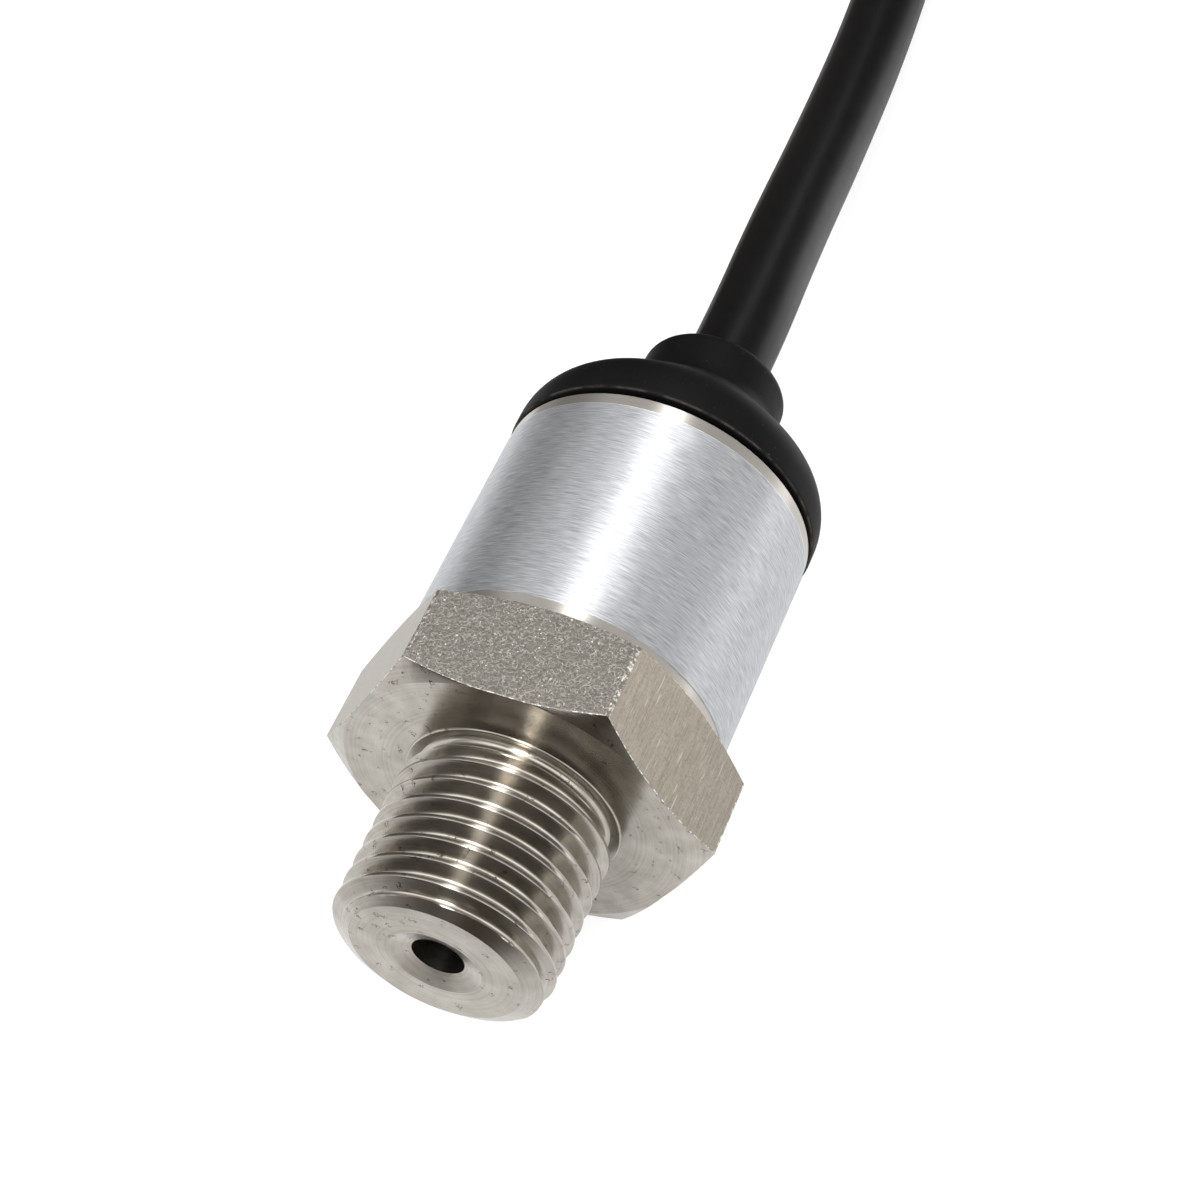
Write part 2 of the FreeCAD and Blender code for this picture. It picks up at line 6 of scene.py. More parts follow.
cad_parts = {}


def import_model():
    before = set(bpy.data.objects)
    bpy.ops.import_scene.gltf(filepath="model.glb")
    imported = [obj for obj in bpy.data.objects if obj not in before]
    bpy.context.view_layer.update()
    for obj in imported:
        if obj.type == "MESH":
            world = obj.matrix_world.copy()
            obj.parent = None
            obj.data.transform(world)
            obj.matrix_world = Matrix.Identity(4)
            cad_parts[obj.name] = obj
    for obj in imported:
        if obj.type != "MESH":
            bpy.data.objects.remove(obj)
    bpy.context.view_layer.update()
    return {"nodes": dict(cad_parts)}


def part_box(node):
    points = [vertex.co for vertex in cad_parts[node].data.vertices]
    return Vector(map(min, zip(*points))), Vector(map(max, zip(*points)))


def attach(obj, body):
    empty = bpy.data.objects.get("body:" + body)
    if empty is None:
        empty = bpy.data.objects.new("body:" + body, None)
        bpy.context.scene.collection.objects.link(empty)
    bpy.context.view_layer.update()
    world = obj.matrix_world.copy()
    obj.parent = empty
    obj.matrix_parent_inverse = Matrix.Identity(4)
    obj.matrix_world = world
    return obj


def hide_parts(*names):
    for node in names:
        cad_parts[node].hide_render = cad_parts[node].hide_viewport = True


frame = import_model()

# Sizes in metres, in the frame of the solids: the axis is Y, the port points to -Y and +Z is up.
MM = 0.001
PORT_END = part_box("pressure_port")[0][1]
SPIGOT_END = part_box("pressure_port")[1][1]
SLEEVE_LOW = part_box("housing_sleeve")[0][1]
SLEEVE_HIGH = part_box("housing_sleeve")[1][1]
SLEEVE_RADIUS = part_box("housing_sleeve")[1][0]
CAP_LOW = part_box("cable_cap")[0][1]
BOSS_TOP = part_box("cable_cap")[1][1]
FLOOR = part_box("pressure_port")[0][2]
STEPS_ROUND = 120
# Points nearer than this are taken for one, and a cut or a turned profile needs them nearer still.
NEAR = 1e-6
TOUCHING = 1e-7


# Helpers


def to_linear(code):
    """Linear colour from an sRGB hex value."""
    parts = [int(code[k:k + 2], 16) / 255 for k in (1, 3, 5)]
    return tuple(c / 12.92 if c <= 0.04045 else ((c + 0.055) / 1.055) ** 2.4 for c in parts) + (1.0,)


def fill(tree, node, inputs):
    """Sets a node's inputs. Each is a value, or the socket that it is linked to."""
    for name, value in inputs.items():
        if isinstance(value, bpy.types.NodeSocket):
            tree.links.new(value, node.inputs[name])
        else:
            node.inputs[name].default_value = value


def add(tree, kind, inputs=None, **settings):
    """Adds a node with its settings, then its inputs."""
    node = tree.nodes.new(kind)
    for name, value in settings.items():
        setattr(node, name, value)
    fill(tree, node, inputs or {})
    return node


def new_material(name):
    """A material with its tree, its shader and its Object coordinates."""
    material = bpy.data.materials.new(name)
    material.use_nodes = True
    tree = material.node_tree
    shader = tree.nodes["Principled BSDF"]
    place = add(tree, "ShaderNodeTexCoord").outputs["Object"]
    return material, tree, shader, place


def per_mm(size):
    """Scale of a pattern whose grain has this size in millimetres."""
    return 1 / (size * MM)


def arc(centre, radius, start, end, count):
    """Points of an arc in a plane, with angles in degrees."""
    angles = [math.radians(start + (end - start) * k / count) for k in range(count + 1)]
    return [(centre[0] + radius * math.cos(a), centre[1] + radius * math.sin(a)) for a in angles]


def corner_arc(before, corner, after, radius, count):
    """Points of a fillet of this radius in a corner of a profile."""
    back = (Vector(before) - Vector(corner)).normalized()
    ahead = (Vector(after) - Vector(corner)).normalized()
    half = back.angle(ahead) / 2
    centre = Vector(corner) + (back + ahead).normalized() * radius / math.sin(half)
    first = Vector(corner) + back * radius / math.tan(half) - centre
    last = Vector(corner) + ahead * radius / math.tan(half) - centre
    turn = first.angle_signed(last)
    return [tuple(centre + Matrix.Rotation(-turn * k / count, 2) @ first) for k in range(count + 1)]


def turned(profile):
    """A bmesh turned about the Y axis from a closed profile of (radius, distance) points."""
    bm = bmesh.new()
    verts = [bm.verts.new((radius, distance, 0)) for radius, distance in profile]
    edges = [bm.edges.new(pair) for pair in zip(verts, verts[1:] + verts[:1])]
    bmesh.ops.spin(bm, geom=verts + edges, cent=(0, 0, 0), axis=(0, 1, 0), angle=2 * math.pi,
                   steps=STEPS_ROUND, use_merge=True)
    bmesh.ops.remove_doubles(bm, verts=bm.verts, dist=TOUCHING)
    bmesh.ops.recalc_face_normals(bm, faces=bm.faces)
    return bm


def smooth_by_angle(bm, degrees=28):
    """Smooth faces, with sharp edges where faces meet at a larger angle."""
    for face in bm.faces:
        face.smooth = True
    for edge in bm.edges:
        edge.smooth = not (edge.is_manifold and edge.calc_face_angle() > math.radians(degrees))


def piece(name, bm, materials, slot, *nodes):
    """Makes an object of a finished bmesh, which rides on the body and stands for the nodes."""
    mesh = bpy.data.meshes.new(name)
    bm.to_mesh(mesh)
    bm.free()
    obj = bpy.data.objects.new(name, mesh)
    bpy.context.scene.collection.objects.link(obj)
    for material in materials:
        mesh.materials.append(material)
    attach(obj, "root")
    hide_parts(*nodes)
    return obj


# Materials

# Rings and brush lines run round the axis, and draw highlights out a quarter turn from that.
ACROSS = 0.25
# Brush lines are drawn this much finer along the axis than round it.
BRUSH_FINENESS = 20.0


def nicks(tree, place, size, spacing, low):
    """Short ragged strokes of about this size, where a noise of this spacing is higher than a level."""
    curl = add(tree, "ShaderNodeTexNoise", {"Vector": place, "Scale": per_mm(size), "Detail": 1.0})
    off = add(tree, "ShaderNodeMath", {0: curl.outputs["Fac"], 1: 0.5}, operation="SUBTRACT")
    ridge = add(tree, "ShaderNodeMath", {0: off.outputs[0]}, operation="ABSOLUTE")
    line = add(tree, "ShaderNodeMapRange", {"Value": ridge.outputs[0], "From Min": 0.05, "From Max": 0.02})
    patch = add(tree, "ShaderNodeTexNoise", {"Vector": place, "Scale": per_mm(spacing), "Detail": 0.0})
    shown = add(tree, "ShaderNodeMapRange", {
        "Value": patch.outputs["Fac"], "From Min": low, "From Max": low + 0.03})
    both = add(tree, "ShaderNodeMath", {0: line.outputs[0], 1: shown.outputs[0]}, operation="MULTIPLY")
    return both.outputs[0]


def thin_line(tree, distance, place, half):
    """One within half a width of a place along the axis, and zero elsewhere."""
    off = add(tree, "ShaderNodeMath", {0: distance, 1: place}, operation="SUBTRACT")
    away = add(tree, "ShaderNodeMath", {0: off.outputs[0]}, operation="ABSOLUTE")
    line = add(tree, "ShaderNodeMapRange", {"Value": away.outputs[0], "From Min": half, "From Max": half / 2})
    return line.outputs[0]


def turned_stainless():
    """Stainless steel as turned: warm grey, with fine rings that draw highlights out, and a few nicks."""
    material, tree, shader, place = new_material("turned_stainless_steel")
    flat = add(tree, "ShaderNodeVectorMath", {0: place, 1: (1, 0, 1)}, operation="MULTIPLY")
    radius = add(tree, "ShaderNodeVectorMath", {0: flat.outputs[0]}, operation="LENGTH")
    split = add(tree, "ShaderNodeSeparateXYZ", {0: place})
    section = add(tree, "ShaderNodeCombineXYZ", {"X": radius.outputs["Value"], "Y": split.outputs["Y"]})
    rings = add(tree, "ShaderNodeTexNoise", {
        "Vector": section.outputs[0], "Scale": per_mm(0.14), "Detail": 3.0, "Roughness": 0.7})
    blot = add(tree, "ShaderNodeTexNoise", {"Vector": place, "Scale": per_mm(1.5), "Detail": 5.0})
    both = add(tree, "ShaderNodeMath", {0: rings.outputs["Fac"], 1: blot.outputs["Fac"]}, operation="ADD")
    share = add(tree, "ShaderNodeMapRange", {"Value": both.outputs[0], "From Min": 0.7, "From Max": 1.3})
    clean = add(tree, "ShaderNodeMix", {
        "Factor": share.outputs[0], "A": to_linear("#979189"), "B": to_linear("#B5B1A9")}, data_type="RGBA")
    nick = nicks(tree, place, 0.22, 0.55, 0.7)
    tone = add(tree, "ShaderNodeMix", {
        "Factor": nick, "A": clean.outputs["Result"], "B": to_linear("#5A4F43")}, data_type="RGBA")
    dull = add(tree, "ShaderNodeMapRange", {"Value": rings.outputs["Fac"], "To Min": 0.17, "To Max": 0.23})
    groove = add(tree, "ShaderNodeMath", {0: nick, 1: -1.0, 2: rings.outputs["Fac"]},
                 operation="MULTIPLY_ADD")
    bump = add(tree, "ShaderNodeBump", {
        "Height": groove.outputs[0], "Strength": 0.2, "Distance": 0.01 * MM})
    tangent = add(tree, "ShaderNodeTangent", direction_type="RADIAL", axis="Y")
    fill(tree, shader, {
        "Base Color": tone.outputs["Result"], "Roughness": dull.outputs[0], "Normal": bump.outputs[0],
        "Tangent": tangent.outputs[0], "Metallic": 1.0, "Anisotropic": 0.62, "Anisotropic Rotation": ACROSS})
    return material


def bright_stainless():
    """Collar and tube end, turned clean: bright, with rings too fine to see that draw highlights out."""
    material, tree, shader, place = new_material("bright_turned_stainless_steel")
    split = add(tree, "ShaderNodeSeparateXYZ", {0: place})
    along = add(tree, "ShaderNodeCombineXYZ", {"Y": split.outputs["Y"]})
    rings = add(tree, "ShaderNodeTexNoise", {
        "Vector": along.outputs[0], "Scale": per_mm(0.1), "Detail": 2.0})
    tone = add(tree, "ShaderNodeMix", {
        "Factor": rings.outputs["Fac"], "A": to_linear("#B2AEA7"), "B": to_linear("#C8C4BE")},
        data_type="RGBA")
    bump = add(tree, "ShaderNodeBump", {
        "Height": rings.outputs["Fac"], "Strength": 0.1, "Distance": 0.01 * MM})
    tangent = add(tree, "ShaderNodeTangent", direction_type="RADIAL", axis="Y")
    fill(tree, shader, {
        "Base Color": tone.outputs["Result"], "Normal": bump.outputs[0], "Tangent": tangent.outputs[0],
        "Metallic": 1.0, "Roughness": 0.35, "Anisotropic": 1.0, "Anisotropic Rotation": ACROSS})
    return material


def pitted_stainless():
    """Stainless bar with its mill skin: grey and grainy, with fine worms of bright metal and near-white dots
    that are partly bare metal and partly painted glints.
    """
    material, tree, shader, place = new_material("pitted_stainless_steel")
    bend = add(tree, "ShaderNodeTexNoise", {"Vector": place, "Scale": per_mm(0.3), "Detail": 2.0})
    moved = add(tree, "ShaderNodeVectorMath", {0: bend.outputs["Color"], 1: (0.25 * MM,) * 3, 2: place},
                operation="MULTIPLY_ADD")
    worms = add(tree, "ShaderNodeTexNoise", {
        "Vector": moved.outputs[0], "Scale": per_mm(0.26), "Detail": 1.0})
    off = add(tree, "ShaderNodeMath", {0: worms.outputs["Fac"], 1: 0.5}, operation="SUBTRACT")
    ridge = add(tree, "ShaderNodeMath", {0: off.outputs[0]}, operation="ABSOLUTE")
    line = add(tree, "ShaderNodeMapRange", {"Value": ridge.outputs[0], "From Min": 0.05, "From Max": 0.015})
    patch = add(tree, "ShaderNodeTexNoise", {"Vector": place, "Scale": per_mm(0.5), "Detail": 2.0})
    shown = add(tree, "ShaderNodeMapRange", {"Value": patch.outputs["Fac"], "From Min": 0.3, "From Max": 0.7})
    worm = add(tree, "ShaderNodeMath", {0: line.outputs[0], 1: shown.outputs[0]}, operation="MULTIPLY")
    # Near-white dots: partly bright bare metal, partly painted glints.
    dots = add(tree, "ShaderNodeTexNoise", {
        "Vector": moved.outputs[0], "Scale": per_mm(0.15), "Detail": 0.0})
    dot = add(tree, "ShaderNodeMapRange", {"Value": dots.outputs["Fac"], "From Min": 0.75, "From Max": 0.82})
    speck = add(tree, "ShaderNodeMath", {0: worm.outputs[0], 1: dot.outputs[0]}, operation="MAXIMUM")
    grain = add(tree, "ShaderNodeTexNoise", {
        "Vector": place, "Scale": per_mm(0.12), "Detail": 3.0, "Roughness": 0.8})
    dull = add(tree, "ShaderNodeMapRange", {"Value": grain.outputs["Fac"], "From Min": 0.3, "From Max": 0.7})
    skin = add(tree, "ShaderNodeMix", {
        "Factor": dull.outputs[0], "A": to_linear("#67635D"), "B": to_linear("#9C9790")}, data_type="RGBA")
    rubbed = add(tree, "ShaderNodeMix", {
        "Factor": worm.outputs[0], "A": skin.outputs["Result"], "B": to_linear("#C8C3BB")}, data_type="RGBA")
    tone = add(tree, "ShaderNodeMix", {
        "Factor": dot.outputs[0], "A": rubbed.outputs["Result"], "B": to_linear("#FBF4EA")}, data_type="RGBA")
    rough = add(tree, "ShaderNodeMapRange", {"Value": speck.outputs[0], "To Min": 0.6, "To Max": 0.4})
    bump = add(tree, "ShaderNodeBump", {
        "Height": worms.outputs["Fac"], "Strength": 0.7, "Distance": 0.04 * MM})
    fill(tree, shader, {
        "Base Color": tone.outputs["Result"], "Roughness": rough.outputs[0], "Normal": bump.outputs[0],
        "Metallic": 1.0})
    return material


def worn_stainless_with_painted_highlight():
    """Edges of the bar where handling has rubbed the skin off: bright, in short broken runs that are partly
    bare metal and partly painted highlight.
    """
    material, tree, shader, place = new_material("worn_stainless_edge_painted_highlight")
    runs = add(tree, "ShaderNodeTexNoise", {
        "Vector": place, "Scale": per_mm(0.22), "Detail": 3.0, "Roughness": 0.7})
    share = add(tree, "ShaderNodeMapRange", {
        "Value": runs.outputs["Fac"], "From Min": 0.46, "From Max": 0.63})
    # Near-white runs: partly bare worn metal, partly painted highlight along the edges.
    tone = add(tree, "ShaderNodeMix", {
        "Factor": share.outputs[0], "A": to_linear("#8C867D"), "B": to_linear("#FFFCF6")}, data_type="RGBA")
    rough = add(tree, "ShaderNodeMapRange", {"Value": runs.outputs["Fac"], "To Min": 0.6, "To Max": 0.5})
    bump = add(tree, "ShaderNodeBump", {
        "Height": runs.outputs["Fac"], "Strength": 0.5, "Distance": 0.04 * MM})
    fill(tree, shader, {
        "Base Color": tone.outputs["Result"], "Roughness": rough.outputs[0], "Normal": bump.outputs[0],
        "Metallic": 1.0})
    return material


def drawn_stainless():
    """Stainless bar as drawn: warm grey, grainy, with fine bright and dark scratches along the bar."""
    material, tree, shader, place = new_material("drawn_stainless_steel")
    stretch = add(tree, "ShaderNodeMapping", {"Vector": place, "Scale": (1, 0.07, 1)})
    drawn = add(tree, "ShaderNodeTexNoise", {
        "Vector": stretch.outputs[0], "Scale": per_mm(0.12), "Detail": 3.0, "Roughness": 0.65})
    grain = add(tree, "ShaderNodeTexNoise", {
        "Vector": place, "Scale": per_mm(0.16), "Detail": 4.0, "Roughness": 0.75})
    both = add(tree, "ShaderNodeMath", {0: drawn.outputs["Fac"], 1: grain.outputs["Fac"]}, operation="ADD")
    share = add(tree, "ShaderNodeMapRange", {"Value": both.outputs[0], "From Min": 0.7, "From Max": 1.3})
    clean = add(tree, "ShaderNodeMix", {
        "Factor": share.outputs[0], "A": to_linear("#7D756A"), "B": to_linear("#A39C90")}, data_type="RGBA")
    slanted = add(tree, "ShaderNodeMapping", {
        "Vector": place, "Scale": (1, 0.1, 1), "Rotation": (0, 0, 0.08)})
    rub = add(tree, "ShaderNodeTexNoise", {
        "Vector": slanted.outputs[0], "Scale": per_mm(0.14), "Detail": 0.0})
    scratch = add(tree, "ShaderNodeMapRange", {
        "Value": rub.outputs["Fac"], "From Min": 0.72, "From Max": 0.82})
    scored = add(tree, "ShaderNodeMix", {
        "Factor": scratch.outputs[0], "A": clean.outputs["Result"], "B": to_linear("#ADA699")},
        data_type="RGBA")
    nick = nicks(tree, place, 0.2, 0.5, 0.71)
    tone = add(tree, "ShaderNodeMix", {
        "Factor": nick, "A": scored.outputs["Result"], "B": to_linear("#857D71")}, data_type="RGBA")
    rough = add(tree, "ShaderNodeMapRange", {"Value": drawn.outputs["Fac"], "To Min": 0.28, "To Max": 0.4})
    bump = add(tree, "ShaderNodeBump", {
        "Height": both.outputs[0], "Strength": 0.35, "Distance": 0.015 * MM})
    fill(tree, shader, {
        "Base Color": tone.outputs["Result"], "Roughness": rough.outputs[0], "Normal": bump.outputs[0],
        "Metallic": 1.0})
    return material


def brushed_sleeve_steel():
    """Steel tube brushed round its girth: cool silver, with fine lines, a highlight along the axis, and a
    thin painted highlight along the land's lower edge.
    """
    material, tree, shader, place = new_material("brushed_steel_tube")
    split = add(tree, "ShaderNodeSeparateXYZ", {0: place})
    turn = add(tree, "ShaderNodeMath", {0: split.outputs["X"], 1: split.outputs["Z"]}, operation="ARCTAN2")
    around = add(tree, "ShaderNodeMath", {0: turn.outputs[0], 1: SLEEVE_RADIUS}, operation="MULTIPLY")
    # Real brush lines are about 0.03 mm wide: these are drawn twice as wide, to show.
    along = add(tree, "ShaderNodeMath", {0: split.outputs["Y"], 1: BRUSH_FINENESS}, operation="MULTIPLY")
    lines = add(tree, "ShaderNodeCombineXYZ", {"X": around.outputs[0], "Y": along.outputs[0]})
    grain = add(tree, "ShaderNodeTexNoise", {
        "Vector": lines.outputs[0], "Scale": per_mm(1.3), "Detail": 2.0, "Roughness": 0.6})
    share = add(tree, "ShaderNodeMapRange", {"Value": grain.outputs["Fac"], "From Min": 0.3, "From Max": 0.7})
    brushed = add(tree, "ShaderNodeMix", {
        "Factor": share.outputs[0], "A": to_linear("#9EA0A4"), "B": to_linear("#D4D6D9")}, data_type="RGBA")
    # Painted highlight: a thin near-white line along the land's lower edge stands in for its catch-light.
    edge = thin_line(tree, split.outputs["Y"], LAND_LOW, 0.07 * MM)
    tone = add(tree, "ShaderNodeMix", {
        "Factor": edge, "A": brushed.outputs["Result"], "B": to_linear("#FAFAF8")}, data_type="RGBA")
    rough = add(tree, "ShaderNodeMapRange", {"Value": share.outputs[0], "To Min": 0.48, "To Max": 0.55})
    bump = add(tree, "ShaderNodeBump", {
        "Height": grain.outputs["Fac"], "Strength": 0.2, "Distance": 0.01 * MM})
    tangent = add(tree, "ShaderNodeTangent", direction_type="RADIAL", axis="Y")
    fill(tree, shader, {
        "Base Color": tone.outputs["Result"], "Roughness": rough.outputs[0], "Normal": bump.outputs[0],
        "Tangent": tangent.outputs[0], "Metallic": 1.0, "Anisotropic": 0.85, "Anisotropic Rotation": ACROSS})
    return material


def moulded_rubber():
    """Black rubber from a mould: matt, with fine pores, a little dust, and flash where the mould closed."""
    material, tree, shader, place = new_material("moulded_black_rubber")
    bloom = add(tree, "ShaderNodeTexNoise", {"Vector": place, "Scale": per_mm(1.5), "Detail": 5.0})
    plain = add(tree, "ShaderNodeMix", {
        "Factor": bloom.outputs["Fac"], "A": to_linear("#070708"), "B": to_linear("#0E0E0F")},
        data_type="RGBA")
    split = add(tree, "ShaderNodeSeparateXYZ", {0: place})
    rim = thin_line(tree, split.outputs["Y"], RIM_LOW + LIP_ROUND / 3, 0.06 * MM)
    top = thin_line(tree, split.outputs["Y"], BOSS_TOP - BOSS_ROUND / 4, 0.06 * MM)
    seams = add(tree, "ShaderNodeMath", {0: rim, 1: top}, operation="MAXIMUM")
    runs = add(tree, "ShaderNodeTexNoise", {"Vector": place, "Scale": per_mm(0.8), "Detail": 3.0})
    shown = add(tree, "ShaderNodeMapRange", {
        "Value": runs.outputs["Fac"], "From Min": 0.35, "From Max": 0.65})
    flash = add(tree, "ShaderNodeMath", {0: seams.outputs[0], 1: shown.outputs[0]}, operation="MULTIPLY")
    dust = nicks(tree, place, 0.15, 0.25, 0.79)
    marks = add(tree, "ShaderNodeMath", {0: flash.outputs[0], 1: dust}, operation="MAXIMUM")
    tone = add(tree, "ShaderNodeMix", {
        "Factor": marks.outputs[0], "A": plain.outputs["Result"], "B": to_linear("#38332D")},
        data_type="RGBA")
    rough = add(tree, "ShaderNodeMapRange", {"Value": bloom.outputs["Fac"], "To Min": 0.48, "To Max": 0.62})
    pores = add(tree, "ShaderNodeTexNoise", {"Vector": place, "Scale": per_mm(0.15), "Detail": 2.0})
    bump = add(tree, "ShaderNodeBump", {
        "Height": pores.outputs["Fac"], "Strength": 0.2, "Distance": 0.02 * MM})
    fill(tree, shader, {
        "Base Color": tone.outputs["Result"], "Roughness": rough.outputs[0], "Normal": bump.outputs[0],
        "Specular IOR Level": 0.1})
    return material


def extruded_vinyl(name, dark, light):
    """Soft vinyl as extruded: satin, with faint scuffs."""
    material, tree, shader, place = new_material(name)
    scuff = add(tree, "ShaderNodeTexNoise", {"Vector": place, "Scale": per_mm(1.2), "Detail": 5.0})
    tone = add(tree, "ShaderNodeMix", {
        "Factor": scuff.outputs["Fac"], "A": to_linear(dark), "B": to_linear(light)}, data_type="RGBA")
    rough = add(tree, "ShaderNodeMapRange", {"Value": scuff.outputs["Fac"], "To Min": 0.36, "To Max": 0.46})
    bump = add(tree, "ShaderNodeBump", {
        "Height": scuff.outputs["Fac"], "Strength": 0.1, "Distance": 0.02 * MM})
    fill(tree, shader, {
        "Base Color": tone.outputs["Result"], "Roughness": rough.outputs[0], "Normal": bump.outputs[0],
        "Specular IOR Level": 0.16})
    return material


def plain_finish(name, dark, light, grain_mm, rough, metallic=0.0):
    """A finish with a fine mottle, for the ties and the pieces inside."""
    material, tree, shader, place = new_material(name)
    grain = add(tree, "ShaderNodeTexNoise", {"Vector": place, "Scale": per_mm(grain_mm), "Detail": 3.0})
    tone = add(tree, "ShaderNodeMix", {
        "Factor": grain.outputs["Fac"], "A": to_linear(dark), "B": to_linear(light)}, data_type="RGBA")
    bump = add(tree, "ShaderNodeBump", {
        "Height": grain.outputs["Fac"], "Strength": 0.1, "Distance": 0.02 * MM})
    fill(tree, shader, {
        "Base Color": tone.outputs["Result"], "Normal": bump.outputs[0], "Roughness": rough,
        "Metallic": metallic})
    return material


# Pressure port

PITCH = 1.337 * MM
CREST = 6.5785 * MM
THREAD_DEPTH = 0.856 * MM
ROOT = CREST - THREAD_DEPTH
THREAD_HALF_ANGLE = math.radians(27.5)
ROOT_CURVE = 0.1373 * PITCH
CREST_CURVE = 0.06 * MM
CURVE_STEPS = 6
FLANK_STEPS = 6
# A crest lies at this distance along the axis, at this angle round it.
CREST_PHASE = -1.92 * MM
CREST_ANGLE = math.radians(80)
# The chamfer starts with this radius at the stud's end, and widens this much per length.
END_RADIUS = 5.2 * MM
END_SLOPE = 2.0
RELIEF_END = -0.36 * MM
RELIEF_FILLET = 0.34 * MM
RELIEF_RIM = 6.7 * MM
RELIEF_LIP = 0.1 * MM
SINK_RADIUS = 2.8 * MM
SINK_DEPTH = 0.45 * MM
INLET_RADIUS = 1.6 * MM
CHAMBER_FLOOR = 4.6 * MM
CHAMBER_RADIUS = 6.7 * MM
FLAT_DISTANCE = 10.5 * MM
HEX_HEIGHT = 6.5 * MM
HEX_FRONT_RADIUS = 10.6 * MM
HEX_BACK_RADIUS = 10.1 * MM
HEX_CORNER_RADIUS = 12.06 * MM
CORNER_SLOPE = 0.45
EDGE_BREAK = 0.05 * MM
COLLAR_RADIUS = 10.0 * MM
SPIGOT_RADIUS = 9.0 * MM
GROOVE_RADIUS = 7.7 * MM
GROOVE_LOW = 8.85 * MM
GROOVE_HIGH = 10.85 * MM
# An edge this near to a ring of the profile belongs to it.
RING_SLACK = 0.02 * MM
# A point within this angle of a step round the axis lies on it.
STEP_SLACK = 1e-3
# Places of the finishes in the port's list, after the turned steel of all other faces.
PITTED, DRAWN, WORN_HIGHLIT, BRIGHT = range(1, 5)


def radius_of(vert):
    """Distance of a vertex from the axis."""
    return math.hypot(vert.co.x, vert.co.z)


def set_radius(vert, radius):
    """Moves a vertex straight out or in to a distance from the axis."""
    share = radius / radius_of(vert)
    vert.co.x *= share
    vert.co.z *= share


def thread_profile():
    """One pitch as (distance, radius) points: round root, straight flank, flat crest and back to the root."""
    turns = [(math.pi / 2 - THREAD_HALF_ANGLE) * k / CURVE_STEPS for k in range(CURVE_STEPS + 1)]
    root = [(ROOT_CURVE * math.sin(t), ROOT + ROOT_CURVE * (1 - math.cos(t))) for t in turns]
    foot = root[-1]
    corner = (foot[0] + (CREST - foot[1]) * math.tan(THREAD_HALF_ANGLE), CREST)
    middle = (PITCH / 2, CREST)
    top = corner_arc(foot, corner, middle, CREST_CURVE, 3)
    shares = [k / FLANK_STEPS for k in range(1, FLANK_STEPS)]
    flank = [(foot[0] + (top[0][0] - foot[0]) * s, foot[1] + (top[0][1] - foot[1]) * s) for s in shares]
    rise = root + flank + top + [middle]
    return rise + [(PITCH - distance, radius) for distance, radius in rise[-2::-1]]


def thread():
    """The thread as a helical sweep of its profile, turned off at its end and at the relief."""
    bm = bmesh.new()
    pitches = math.ceil((RELIEF_END - PORT_END) / PITCH) + 2
    low = CREST_PHASE + PITCH * (CREST_ANGLE / (2 * math.pi) - 0.5) + PITCH
    while low > PORT_END - PITCH:
        low -= PITCH
    profile = thread_profile()[:-1]
    verts = []
    for k in range(pitches):
        verts += [bm.verts.new((radius, low + k * PITCH + distance, 0)) for distance, radius in profile]
    edges = [bm.edges.new(pair) for pair in zip(verts, verts[1:])]
    bmesh.ops.spin(bm, geom=verts + edges, cent=(0, 0, 0), axis=(0, 1, 0), dvec=(0, PITCH / STEPS_ROUND, 0),
                   angle=2 * math.pi, steps=STEPS_ROUND)
    bmesh.ops.remove_doubles(bm, verts=bm.verts, dist=NEAR)
    for vert in bm.verts:
        chamfer = END_RADIUS + END_SLOPE * (vert.co.y - PORT_END)
        relief = ROOT + RELIEF_END - vert.co.y
        limit = max(min(chamfer, relief), ROOT / 2)
        if radius_of(vert) > limit:
            set_radius(vert, limit)
    for place, way in ((PORT_END, -1), (RELIEF_END, 1)):
        everything = bm.verts[:] + bm.edges[:] + bm.faces[:]
        bmesh.ops.bisect_plane(bm, geom=everything, dist=TOUCHING, plane_co=(0, place, 0),
                               plane_no=(0, way, 0), clear_outer=True)
    # The rims keep only the points that lie on the steps round the axis.
    step = 2 * math.pi / STEPS_ROUND
    rim = {v for e in bm.edges if e.is_boundary for v in e.verts}
    between = [v for v in rim if abs(math.remainder(math.atan2(v.co.z, v.co.x), step)) > STEP_SLACK]
    bmesh.ops.dissolve_verts(bm, verts=between)
    return bm


def extend_rim(bm, near, profile):
    """Carries the open rim at a distance along the axis through the rings of a turned profile."""
    rim = [e for e in bm.edges if e.is_boundary and abs(e.verts[0].co.y - near) < NEAR]
    for radius, distance in profile:
        made = bmesh.ops.extrude_edge_only(bm, edges=rim)["geom"]
        rim = [g for g in made if isinstance(g, bmesh.types.BMEdge)]
        for vert in (g for g in made if isinstance(g, bmesh.types.BMVert)):
            set_radius(vert, radius)
            vert.co.y = distance
    return rim


def cut_flats(bm):
    """Cuts the hexagon's six flats. Those above and below keep the mill skin."""
    for k in range(6):
        turn = math.radians(30 + 60 * k)
        normal = Vector((math.cos(turn), 0, math.sin(turn)))
        everything = bm.verts[:] + bm.edges[:] + bm.faces[:]
        cut = bmesh.ops.bisect_plane(bm, geom=everything, dist=TOUCHING, plane_co=normal * FLAT_DISTANCE,
                                     plane_no=normal, clear_outer=True)["geom_cut"]
        rim = [g for g in cut if isinstance(g, bmesh.types.BMEdge)]
        for face in bmesh.ops.edgeloop_fill(bm, edges=rim)["faces"]:
            face.material_index = PITTED if k % 3 == 1 else DRAWN


